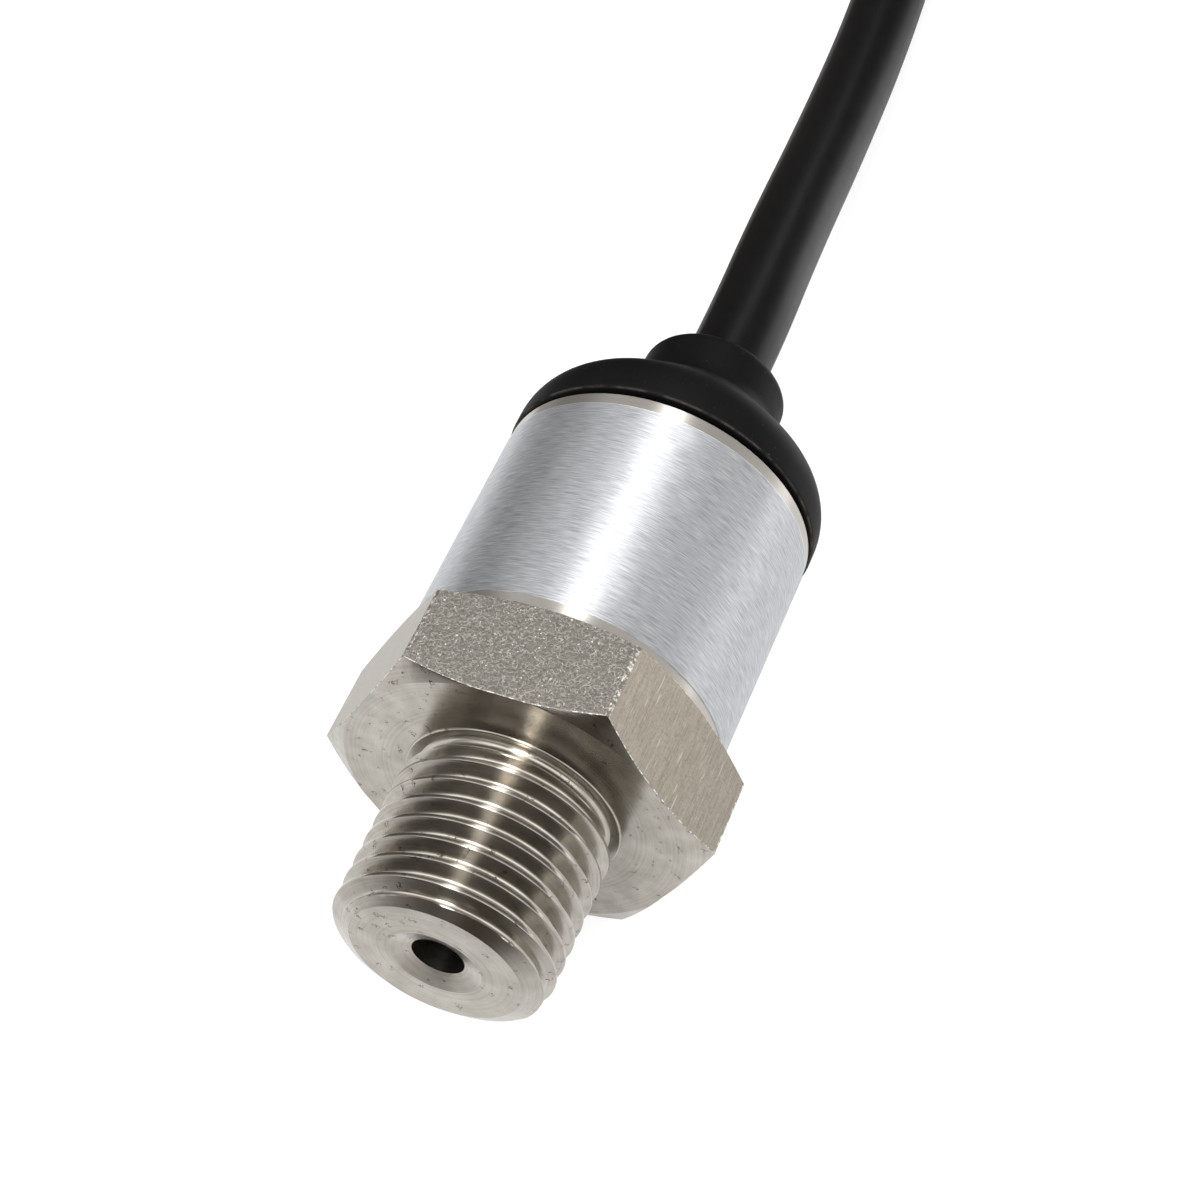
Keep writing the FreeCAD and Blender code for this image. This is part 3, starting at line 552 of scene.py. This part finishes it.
def break_edges(bm):
    """Breaks the edges round the flats, and gives them and the corners their worn finish with painted
    highlight.
    """
    flats = [f for f in bm.faces if f.material_index in (PITTED, DRAWN)]
    rims = list({e for f in flats for e in f.edges})
    worn_highlit_faces = bmesh.ops.bevel(bm, geom=rims, offset=EDGE_BREAK, offset_type="OFFSET", affect="EDGES", segments=2,
                           profile=0.5, material=-1, clamp_overlap=True)["faces"]
    for face in bm.faces:
        if all(abs(radius_of(v) - HEX_CORNER_RADIUS) < EDGE_BREAK for v in face.verts):
            face.material_index = WORN_HIGHLIT
    for face in worn_highlit_faces:
        face.material_index = WORN_HIGHLIT


def pressure_port(turned_steel, pitted, drawn, worn_highlit_edge, bright):
    """The whole port: threaded stud, hexagon with turned corners, collar, spigot and inlet."""
    bm = thread()
    inner = extend_rim(bm, PORT_END, [
        (SINK_RADIUS, PORT_END), (INLET_RADIUS, PORT_END + SINK_DEPTH), (INLET_RADIUS, CHAMBER_FLOOR),
        (CHAMBER_RADIUS, CHAMBER_FLOOR), (CHAMBER_RADIUS, SPIGOT_END)])
    front_cut = (HEX_CORNER_RADIUS - HEX_FRONT_RADIUS) * CORNER_SLOPE
    back_cut = (HEX_CORNER_RADIUS - HEX_BACK_RADIUS) * CORNER_SLOPE
    outer = extend_rim(bm, RELIEF_END, [
        (ROOT, -RELIEF_FILLET),
        *arc((ROOT + RELIEF_FILLET, -RELIEF_FILLET), RELIEF_FILLET, 180, 100, 6)[1:],
        *arc((RELIEF_RIM - RELIEF_LIP, 0), RELIEF_LIP, 270, 360, 4), (HEX_FRONT_RADIUS, 0),
        (HEX_CORNER_RADIUS, front_cut), (HEX_CORNER_RADIUS, HEX_HEIGHT - back_cut),
        (HEX_BACK_RADIUS, HEX_HEIGHT), (COLLAR_RADIUS, HEX_HEIGHT), (COLLAR_RADIUS, SLEEVE_LOW),
        (SPIGOT_RADIUS, SLEEVE_LOW), (SPIGOT_RADIUS, GROOVE_LOW), (GROOVE_RADIUS, GROOVE_LOW),
        (GROOVE_RADIUS, GROOVE_HIGH), (SPIGOT_RADIUS, GROOVE_HIGH), (SPIGOT_RADIUS, SPIGOT_END)])
    bmesh.ops.bridge_loops(bm, edges=inner + outer)
    cut_flats(bm)
    bmesh.ops.recalc_face_normals(bm, faces=bm.faces)
    break_edges(bm)
    for face in bm.faces:
        if all(abs(radius_of(v) - COLLAR_RADIUS) < NEAR for v in face.verts):
            face.material_index = BRIGHT
    smooth_by_angle(bm, 20)
    for face in bm.faces:
        face.smooth = face.material_index not in (PITTED, DRAWN)
    for edge in bm.edges:
        for radius, distance in ((SINK_RADIUS, PORT_END), (RELIEF_RIM, 0)):
            if all(abs(radius_of(v) - radius) + abs(v.co.y - distance) < RING_SLACK for v in edge.verts):
                edge.smooth = False
    finishes = [turned_steel, pitted, drawn, worn_highlit_edge, bright]
    piece("threaded_port", bm, finishes, "port_steel", "pressure_port")


# Sleeve and cap

LAND_LOW = SLEEVE_HIGH - 0.85 * MM
LAND_TAPER = 0.06 * MM
SLEEVE_WALL = 1.0 * MM
SLEEVE_BORE = SLEEVE_RADIUS - SLEEVE_WALL
SLEEVE_EDGE = 0.03 * MM
RIM_RADIUS = 10.125 * MM
RIM_LOW = SLEEVE_HIGH + 0.4 * MM
SHOULDER = RIM_LOW + 2.6 * MM
BOSS_ROOT = SHOULDER + 4.85 * MM
BOSS_RADIUS = 4.8 * MM
SHOULDER_ROUND = 3.4 * MM
ROOT_ROUND = 1.8 * MM
BOSS_ROUND = 1.0 * MM
LIP_ROUND = 0.25 * MM
CABLE_RADIUS = 2.75 * MM
CAVITY_RADIUS = 7.0 * MM
CLAMP_RADIUS = 3.9 * MM
CAP_ROOF = CAP_LOW + 7.0 * MM
CLAMP_END = CAP_ROOF + 3.8 * MM


def sleeve(brushed, bright):
    """Brushed tube with a plainly turned land at its free end."""
    land_radius = SLEEVE_RADIUS - LAND_TAPER
    bm = turned([
        (SLEEVE_BORE, SLEEVE_LOW), (SLEEVE_RADIUS - SLEEVE_EDGE, SLEEVE_LOW),
        (SLEEVE_RADIUS, SLEEVE_LOW + SLEEVE_EDGE), (SLEEVE_RADIUS, LAND_LOW - SLEEVE_EDGE),
        (SLEEVE_RADIUS - SLEEVE_EDGE, LAND_LOW), (land_radius, SLEEVE_HIGH - 2 * SLEEVE_EDGE),
        (land_radius - 2 * SLEEVE_EDGE, SLEEVE_HIGH), (SLEEVE_BORE, SLEEVE_HIGH)])
    for face in bm.faces:
        face.material_index = 0 if face.calc_center_median().y < LAND_LOW - SLEEVE_EDGE else 1
    smooth_by_angle(bm)
    piece("brushed_sleeve", bm, [brushed, bright], "sleeve_steel", "housing_sleeve")


def cap(rubber):
    """Bell-shaped rubber cap with its boss, plug and cable hole."""
    neck, rim, shoulder = (SLEEVE_BORE, RIM_LOW), (RIM_RADIUS, RIM_LOW), (RIM_RADIUS, SHOULDER)
    root, top, hole = (BOSS_RADIUS, BOSS_ROOT), (BOSS_RADIUS, BOSS_TOP), (CABLE_RADIUS, BOSS_TOP)
    bm = turned([
        (CAVITY_RADIUS, CAP_LOW), (SLEEVE_BORE, CAP_LOW), neck,
        *corner_arc(neck, rim, shoulder, LIP_ROUND, 4),
        *corner_arc(rim, shoulder, root, SHOULDER_ROUND, 16),
        *corner_arc(shoulder, root, top, ROOT_ROUND, 10),
        *corner_arc(root, top, hole, BOSS_ROUND, 8),
        hole, (CABLE_RADIUS, CLAMP_END), (CLAMP_RADIUS, CLAMP_END), (CLAMP_RADIUS, CAP_ROOF),
        (CAVITY_RADIUS, CAP_ROOF)])
    smooth_by_angle(bm)
    piece("rubber_cap", bm, [rubber], "cap_rubber", "cable_cap")


# Cable

JACKET_START = 23.5 * MM
# Free cable from the cap to the hank, in millimetres.
ROUTE = [
    (0.0, 30.0, 0.0),
    (0.2, 39.0, 0.0),
    (-0.8, 50.0, -2.0),
    (-1.9, 64.0, -5.3),
    (-3.0, 78.0, -7.5),
    (-4.1, 90.0, -7.5),
    (-5.0, 101.0, -6.6),
    (-5.0, 111.0, -6.6),
]
HANK_TURNS = 4
HANK_CENTRE_X = 11.5 * MM
HANK_FOLD = 16.5 * MM
HANK_NEAR = 111.0 * MM
HANK_FAR = 187.0 * MM
TIE_THICKNESS = 1.0 * MM
HANK_FOOT = FLOOR + TIE_THICKNESS
HANK_TOP = HANK_FOOT + HANK_TURNS * 2 * CABLE_RADIUS
LAST_RUN = 16.0 * MM
FOLD_POINTS = 5
# A straight run's last point is as far from the fold as the fold's points are from each other.
RUN_INSET = HANK_FOLD * math.tan(math.pi / (2 * FOLD_POINTS))
TIE_WIDTH = 3.6 * MM
TIE_HEAD = 5.0 * MM
TIE_HEAD_HEIGHT = 3.0 * MM
TIE_HEAD_LOW = HANK_TOP + TIE_THICKNESS / 2
TIE_TAIL = 0.5 * MM
TIE_TAIL_WIDTH = 0.75 * TIE_WIDTH
TIE_GROOVE = 0.15 * MM
TIE_EDGE = 0.2 * MM
TIE_BEFORE_FOLD = 8.0 * MM
TIE_PLACES = [
    (HANK_CENTRE_X - HANK_FOLD, (HANK_NEAR + HANK_FAR) / 2),
    (HANK_CENTRE_X + HANK_FOLD, HANK_FAR - TIE_BEFORE_FOLD),
]


def hank_points():
    """Points of the wound cable: long loops on each other, each climbing a layer along its near fold."""
    points = []
    diameter = 2 * CABLE_RADIUS
    spread = HANK_FOLD / math.cos(math.pi / (2 * FOLD_POINTS))
    left, right = HANK_CENTRE_X - HANK_FOLD, HANK_CENTRE_X + HANK_FOLD
    near, far = HANK_NEAR + RUN_INSET, HANK_FAR - RUN_INSET
    for layer in range(HANK_TURNS):
        height = HANK_FOOT + CABLE_RADIUS + layer * diameter
        if layer:
            points.append((left, near, height))
        points.append((left, far, height))
        for k in range(FOLD_POINTS):
            turn = math.pi - math.pi * (k + 0.5) / FOLD_POINTS
            across, along = spread * math.cos(turn), spread * math.sin(turn)
            points.append((HANK_CENTRE_X + across, HANK_FAR + along, height))
        points.append((right, far, height))
        if layer == HANK_TURNS - 1:
            points.append((right, HANK_FAR - LAST_RUN, height))
            break
        points.append((right, near, height))
        for k in range(FOLD_POINTS):
            turn = -math.pi * (k + 0.5) / FOLD_POINTS
            across, along = spread * math.cos(turn), spread * math.sin(turn)
            rise = diameter * (k + 0.5) / FOLD_POINTS
            points.append((HANK_CENTRE_X + across, HANK_NEAR + along, height + rise))
    return points


def tie_strap(x, y):
    """Strap of a tie round one run of the hank, with a shallow groove along its middle."""
    bm = bmesh.new()
    loops = []
    for radius in (CABLE_RADIUS + TIE_THICKNESS, CABLE_RADIUS):
        upper = arc((x, HANK_TOP - CABLE_RADIUS), radius, 0, 180, 12)
        lower = arc((x, HANK_FOOT + CABLE_RADIUS), radius, 180, 360, 12)
        verts = [bm.verts.new((across, y - TIE_WIDTH / 2, height)) for across, height in upper + lower]
        loops += [bm.edges.new(pair) for pair in zip(verts, verts[1:] + verts[:1])]
    side = bmesh.ops.bridge_loops(bm, edges=loops)["faces"]
    made = bmesh.ops.extrude_face_region(bm, geom=side)["geom"]
    far_side = [g for g in made if isinstance(g, bmesh.types.BMVert)]
    bmesh.ops.translate(bm, verts=far_side, vec=(0, TIE_WIDTH, 0))
    bmesh.ops.recalc_face_normals(bm, faces=bm.faces)
    middle = Vector((x, y, (HANK_FOOT + HANK_TOP) / 2))
    level = [f for f in bm.faces if abs(f.normal.y) < 0.1]
    band = [f for f in level if f.normal.dot(f.calc_center_median() - middle) > 0]
    rims = [e for e in bm.edges if e.calc_face_angle() > math.radians(60)]
    bmesh.ops.inset_region(bm, faces=band, thickness=TIE_WIDTH / 5, depth=-TIE_GROOVE)
    bmesh.ops.bevel(bm, geom=rims, offset=TIE_EDGE, offset_type="OFFSET", affect="EDGES", segments=2,
                    profile=0.5, material=-1)
    return bm


def tie_block(x, y, low, size, edge):
    """A block with rounded edges that stands on a level."""
    bm = bmesh.new()
    bmesh.ops.create_cube(bm, size=1.0)
    bmesh.ops.scale(bm, verts=bm.verts, vec=size)
    bmesh.ops.translate(bm, verts=bm.verts, vec=(x, y, low + size[2] / 2))
    bmesh.ops.bevel(bm, geom=bm.edges, offset=edge, offset_type="OFFSET", affect="EDGES", segments=3,
                    profile=0.5, material=-1)
    return bm


def tie_head(x, y):
    """Head of a tie, with the slot that the strap's end comes out of."""
    bm = tie_block(x, y, TIE_HEAD_LOW, (TIE_HEAD, TIE_HEAD, TIE_HEAD_HEIGHT), TIE_HEAD / 8)
    top = max(bm.faces, key=lambda f: f.calc_center_median().z)
    bmesh.ops.inset_individual(bm, faces=[top], thickness=TIE_HEAD / 10)
    bmesh.ops.translate(bm, verts=top.verts, vec=(0, 0, -TIE_HEAD / 6))
    return bm


def cable_ties(nylon):
    """The two nylon ties that hold the hank, each with its strap, head and cut tail."""
    whole = bmesh.new()
    tail_low = TIE_HEAD_LOW + TIE_HEAD_HEIGHT / 2
    tail_size = (TIE_THICKNESS, TIE_TAIL_WIDTH, TIE_HEAD_HEIGHT / 2 + TIE_TAIL)
    for x, y in TIE_PLACES:
        for part in (tie_strap(x, y), tie_head(x, y), tie_block(x, y, tail_low, tail_size, TIE_EDGE)):
            mesh = bpy.data.meshes.new("tie")
            part.to_mesh(mesh)
            part.free()
            whole.from_mesh(mesh)
            bpy.data.meshes.remove(mesh)
    smooth_by_angle(whole, 35)
    return piece("hank_ties", whole, [nylon], "tie_nylon", "cable_ties")


def cable(vinyl, ties):
    """The whole cable, from inside the cap to the stripped end on the hank."""
    curve = bpy.data.curves.new("cable", "CURVE")
    curve.dimensions = "3D"
    curve.bevel_depth = CABLE_RADIUS
    curve.bevel_resolution = 6
    curve.use_fill_caps = True
    points = [(0, JACKET_START, 0)] + [tuple(c * MM for c in p) for p in ROUTE] + hank_points()
    spline = curve.splines.new("NURBS")
    spline.points.add(len(points) - 1)
    for point, place in zip(spline.points, points):
        point.co = (*place, 1.0)
    spline.order_u = 3
    spline.use_endpoint_u = True
    spline.resolution_u = 10
    obj = bpy.data.objects.new("cable", curve)
    bpy.context.scene.collection.objects.link(obj)
    curve.materials.append(vinyl)
    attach(obj, "root")
    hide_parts("cable_jacket", "cable_hank")


# Stage, light and camera

# Light round the object: degrees from straight up, to the right positive, and the strength seen there.
LIGHT_ROUND = [(-180, 0.85), (-100, 0.85), (-88, 1.6), (-78, 0.6), (-58, 0.9), (-40, 2.1), (62, 2.1),
               (82, 1.5), (105, 0.85), (180, 0.85)]
# The strip light overhead runs along the axis: half its width and its soft edge, its strength behind and
# in front, the Y of the directions between which it grows and with which power, and of those where it ends.
STRIP_HALF = math.radians(4.5)
STRIP_EDGE = math.radians(5)
STRIP_LIGHT = (2.9, 22.0)
STRIP_FADE = (0.66, -0.85)
STRIP_GROWTH = 3.0
STRIP_END = (-0.98, -0.9)
ROOM_DARK = "#463E35"
BACK_DARK = "#66605A"
BACK_EDGE = (0.1, 0.45)
# The room is dark towards the front, and the table ends there. The dark grows between two cosines.
FRONT_WAY = (0.05, -0.97, 0.2)
ROOM_FRONT = (0.5, 0.85)
TABLE_FRONT = (0.5, 1.0)
TABLE_EDGE = (12 * MM, 48 * MM)
TABLE_REACH = 3.0
# What the camera sees of the table, and what the part mirrors: a glow that grows beside the cable.
TABLE_GREY = "#8C8C8C"
TABLE_GLOW = 0.84
MIRRORED_MATT = 0.4
MIRRORED_GLOW = (0.56, 1.35)
# The table beside the cable is in shade to the left and in light to the right.
SHADE_SIDE = (-4 * MM, -20 * MM)
LIGHT_SIDE = (2 * MM, 14 * MM)
BESIDE_CABLE = (44 * MM, 64 * MM)

CAMERA_PLACE = (41.90 * MM, -77.92 * MM, 130.79 * MM)
CAMERA_AZIMUTH = math.radians(24.5)
CAMERA_ELEVATION = math.radians(51.9)
CAMERA_ROLL = math.radians(-4.04)
CAMERA_LENS = 82.39
SENSOR_WIDTH = 36.0


def camera():
    """Camera with the photo's place, direction and lens."""
    data = bpy.data.cameras.new("camera")
    data.lens = CAMERA_LENS
    data.sensor_width = SENSOR_WIDTH
    data.clip_start = 1 * MM
    obj = bpy.data.objects.new("camera", data)
    bpy.context.scene.collection.objects.link(obj)
    turn = (Matrix.Rotation(CAMERA_AZIMUTH, 4, "Z") @ Matrix.Rotation(math.pi / 2 - CAMERA_ELEVATION, 4, "X")
            @ Matrix.Rotation(CAMERA_ROLL, 4, "Z"))
    obj.matrix_world = Matrix.Translation(CAMERA_PLACE) @ turn
    bpy.context.scene.camera = obj


def table_material():
    """White table: shows white to the camera, and goes dark in the metal towards the front."""
    material = bpy.data.materials.new("white_table")
    material.use_nodes = True
    tree = material.node_tree
    tree.nodes.clear()
    place = add(tree, "ShaderNodeTexCoord").outputs["Object"]
    level = add(tree, "ShaderNodeVectorMath", {0: place, 1: (1, 1, 0)}, operation="MULTIPLY")
    away = add(tree, "ShaderNodeVectorMath", {0: level.outputs[0]}, operation="LENGTH").outputs["Value"]
    way = add(tree, "ShaderNodeVectorMath", {0: level.outputs[0]}, operation="NORMALIZE")
    ahead = add(tree, "ShaderNodeVectorMath", {0: way.outputs[0], 1: FRONT_WAY}, operation="DOT_PRODUCT")
    split = add(tree, "ShaderNodeSeparateXYZ", {0: place})
    shares = []
    for value, (low, high) in ((ahead.outputs["Value"], TABLE_FRONT), (away, TABLE_EDGE),
                               (split.outputs["X"], SHADE_SIDE), (split.outputs["X"], LIGHT_SIDE),
                               (split.outputs["Y"], BESIDE_CABLE)):
        share = add(tree, "ShaderNodeMapRange", {"Value": value, "From Min": low, "From Max": high},
                    interpolation_type="SMOOTHSTEP")
        shares.append(share.outputs[0])
    inside, past, leftward, rightward, backward = shares
    ahead_dim = add(tree, "ShaderNodeMath", {0: inside, 1: past}, operation="MULTIPLY")
    lit = add(tree, "ShaderNodeMath", {0: rightward, 1: backward}, operation="MULTIPLY")
    strength = add(tree, "ShaderNodeMapRange", {
        "Value": lit.outputs[0], "To Min": MIRRORED_GLOW[0], "To Max": MIRRORED_GLOW[1]})
    shade = add(tree, "ShaderNodeMath", {0: leftward, 1: backward}, operation="MULTIPLY")
    dim = add(tree, "ShaderNodeMath", {0: ahead_dim.outputs[0], 1: shade.outputs[0]}, operation="MAXIMUM")
    tone = add(tree, "ShaderNodeMix", {
        "Factor": dim.outputs[0], "A": to_linear("#FFFFFF"), "B": to_linear(ROOM_DARK)},
        data_type="RGBA").outputs["Result"]
    matt = add(tree, "ShaderNodeBsdfDiffuse", {"Color": to_linear(TABLE_GREY)})
    glow = add(tree, "ShaderNodeEmission", {"Color": (1, 1, 1, 1), "Strength": TABLE_GLOW})
    seen = add(tree, "ShaderNodeAddShader", {0: matt.outputs[0], 1: glow.outputs[0]})
    grey = add(tree, "ShaderNodeVectorMath", {0: tone, "Scale": MIRRORED_MATT}, operation="SCALE")
    mirrored_matt = add(tree, "ShaderNodeBsdfDiffuse", {"Color": grey.outputs[0]})
    mirrored_glow = add(tree, "ShaderNodeEmission", {"Color": tone, "Strength": strength.outputs[0]})
    mirrored = add(tree, "ShaderNodeAddShader", {0: mirrored_matt.outputs[0], 1: mirrored_glow.outputs[0]})
    path = add(tree, "ShaderNodeLightPath")
    chosen = add(tree, "ShaderNodeMixShader", {
        0: path.outputs["Is Camera Ray"], 1: mirrored.outputs[0], 2: seen.outputs[0]})
    add(tree, "ShaderNodeOutputMaterial", {"Surface": chosen.outputs[0]})
    return material


def floor():
    """The table that the part lies on, which keeps its shadow."""
    bm = bmesh.new()
    bmesh.ops.create_grid(bm, x_segments=1, y_segments=1, size=TABLE_REACH)
    bmesh.ops.translate(bm, verts=bm.verts, vec=(0, 0, FLOOR))
    mesh = bpy.data.meshes.new("table")
    bm.to_mesh(mesh)
    bm.free()
    obj = bpy.data.objects.new("table", mesh)
    bpy.context.scene.collection.objects.link(obj)
    mesh.materials.append(table_material())


def world():
    """Studio round the object: a long strip light overhead, pale walls and a dark room in front."""
    scene_world = bpy.data.worlds.new("studio")
    bpy.context.scene.world = scene_world
    scene_world.use_nodes = True
    tree = scene_world.node_tree
    tree.nodes.clear()
    way = add(tree, "ShaderNodeTexCoord").outputs["Generated"]
    split = add(tree, "ShaderNodeSeparateXYZ", {0: way})
    angle = add(tree, "ShaderNodeMath", {0: split.outputs["X"], 1: split.outputs["Z"]}, operation="ARCTAN2")
    share = add(tree, "ShaderNodeMapRange", {
        "Value": angle.outputs[0], "From Min": -math.pi, "From Max": math.pi})
    ramp = add(tree, "ShaderNodeValToRGB", {"Fac": share.outputs[0]})
    stops = ramp.color_ramp.elements
    stops.remove(stops[1])
    for k, (degrees, level) in enumerate(LIGHT_ROUND):
        stop = stops.new((degrees + 180) / 360) if k else stops[0]
        stop.color = (level,) * 3 + (1,)
    ahead = add(tree, "ShaderNodeVectorMath", {0: way, 1: FRONT_WAY}, operation="DOT_PRODUCT")
    front = add(tree, "ShaderNodeMapRange", {
        "Value": ahead.outputs["Value"], "From Min": ROOM_FRONT[0], "From Max": ROOM_FRONT[1]},
        interpolation_type="SMOOTHSTEP")
    behind = add(tree, "ShaderNodeMapRange", {
        "Value": split.outputs["Y"], "From Min": BACK_EDGE[0], "From Max": BACK_EDGE[1]},
        interpolation_type="SMOOTHSTEP")
    off = add(tree, "ShaderNodeMath", {0: angle.outputs[0]}, operation="ABSOLUTE")
    lit = add(tree, "ShaderNodeMapRange", {
        "Value": off.outputs[0], "From Min": STRIP_HALF + STRIP_EDGE, "From Max": STRIP_HALF},
        interpolation_type="SMOOTHSTEP")
    rear = add(tree, "ShaderNodeMix", {
        "Factor": behind.outputs[0], "A": ramp.outputs["Color"], "B": to_linear(BACK_DARK)}, data_type="RGBA")
    room = add(tree, "ShaderNodeMix", {
        "Factor": front.outputs[0], "A": rear.outputs["Result"], "B": to_linear(ROOM_DARK)}, data_type="RGBA")
    nearer = add(tree, "ShaderNodeMapRange", {
        "Value": split.outputs["Y"], "From Min": STRIP_FADE[0], "From Max": STRIP_FADE[1]})
    growth = add(tree, "ShaderNodeMath", {0: nearer.outputs[0], 1: STRIP_GROWTH}, operation="POWER")
    strip = add(tree, "ShaderNodeMapRange", {
        "Value": growth.outputs[0], "To Min": STRIP_LIGHT[0], "To Max": STRIP_LIGHT[1]})
    reach = add(tree, "ShaderNodeMapRange", {
        "Value": split.outputs["Y"], "From Min": STRIP_END[0], "From Max": STRIP_END[1]})
    inside = add(tree, "ShaderNodeMath", {0: lit.outputs[0], 1: reach.outputs[0]}, operation="MULTIPLY")
    light = add(tree, "ShaderNodeMix", {
        "Factor": inside.outputs[0], "A": room.outputs["Result"], "B": strip.outputs[0]}, data_type="RGBA")
    path = add(tree, "ShaderNodeLightPath")
    studio = add(tree, "ShaderNodeBackground", {"Color": light.outputs["Result"], "Strength": 1.0})
    white = add(tree, "ShaderNodeBackground", {"Color": (1, 1, 1, 1), "Strength": 1.0})
    chosen = add(tree, "ShaderNodeMixShader", {
        0: path.outputs["Is Camera Ray"], 1: studio.outputs[0], 2: white.outputs[0]})
    add(tree, "ShaderNodeOutputWorld", {"Surface": chosen.outputs[0]})


def dress_inner(materials):
    """Gives each remaining CAD node its finish."""
    for node, material in materials.items():
        mesh = frame["nodes"][node].data
        mesh.materials.clear()
        mesh.materials.append(material)


def build():
    """Makes the materials, the pieces, the stage, the light and the camera."""
    vinyl = extruded_vinyl("black_vinyl_jacket", "#070708", "#101011")
    nylon = plain_finish("moulded_black_nylon", "#17171A", "#212124", 0.3, 0.42)
    bright = bright_stainless()
    pressure_port(turned_stainless(), pitted_stainless(), drawn_stainless(), worn_stainless_with_painted_highlight(), bright)
    sleeve(brushed_sleeve_steel(), bright)
    cap(moulded_rubber())
    cable(vinyl, cable_ties(nylon))
    seal = plain_finish("nitrile_seal", "#141414", "#1D1D1D", 0.3, 0.5)
    alumina = plain_finish("sintered_alumina", "#DAD6CC", "#EDEAE3", 0.2, 0.6)
    steel = plain_finish("pressed_stainless_steel", "#B9B6B1", "#CFCCC8", 0.3, 0.3, 1.0)
    epoxy = plain_finish("moulded_epoxy", "#161616", "#202020", 0.15, 0.55)
    tin = plain_finish("tin_solder", "#C4C4C4", "#D8D8D8", 0.2, 0.25, 1.0)
    wires = {
        "red": extruded_vinyl("red_wire_vinyl", "#8E1712", "#A81E17"),
        "yellow": extruded_vinyl("yellow_wire_vinyl", "#C59A14", "#DBB02A"),
        "black": extruded_vinyl("black_wire_vinyl", "#161616", "#222222"),
    }
    dress_inner({
        "cell_seal": seal, "sleeve_seal": seal, "cell_diaphragm": alumina, "cell_body": alumina,
        "cell_retainer": steel, "cable_clamp": steel,
        "cell_pins": plain_finish("gold_flashed_brass", "#C9A24A", "#DDBB66", 0.3, 0.25, 1.0),
        "board_carrier": plain_finish("moulded_carrier_plastic", "#BDBDB8", "#CCCCC8", 0.4, 0.5),
        "circuit_board": plain_finish("green_solder_mask", "#14522C", "#1B6437", 0.5, 0.35),
        "signal_chip": epoxy, "surge_diode": epoxy,
        "chip_capacitors": plain_finish("fired_capacitor_ceramic", "#8A6A45", "#9C7B54", 0.2, 0.45),
        "chip_resistors": plain_finish("glazed_resistor_film", "#15151A", "#22222A", 0.2, 0.3),
        "solder_joints": tin, "lead_tips": tin,
        **{f"{kind}_{colour}": wire for colour, wire in wires.items() for kind in ("core", "lead")},
    })
    floor()
    world()
    camera()
    bpy.context.scene.view_settings.view_transform = "Standard"


build()
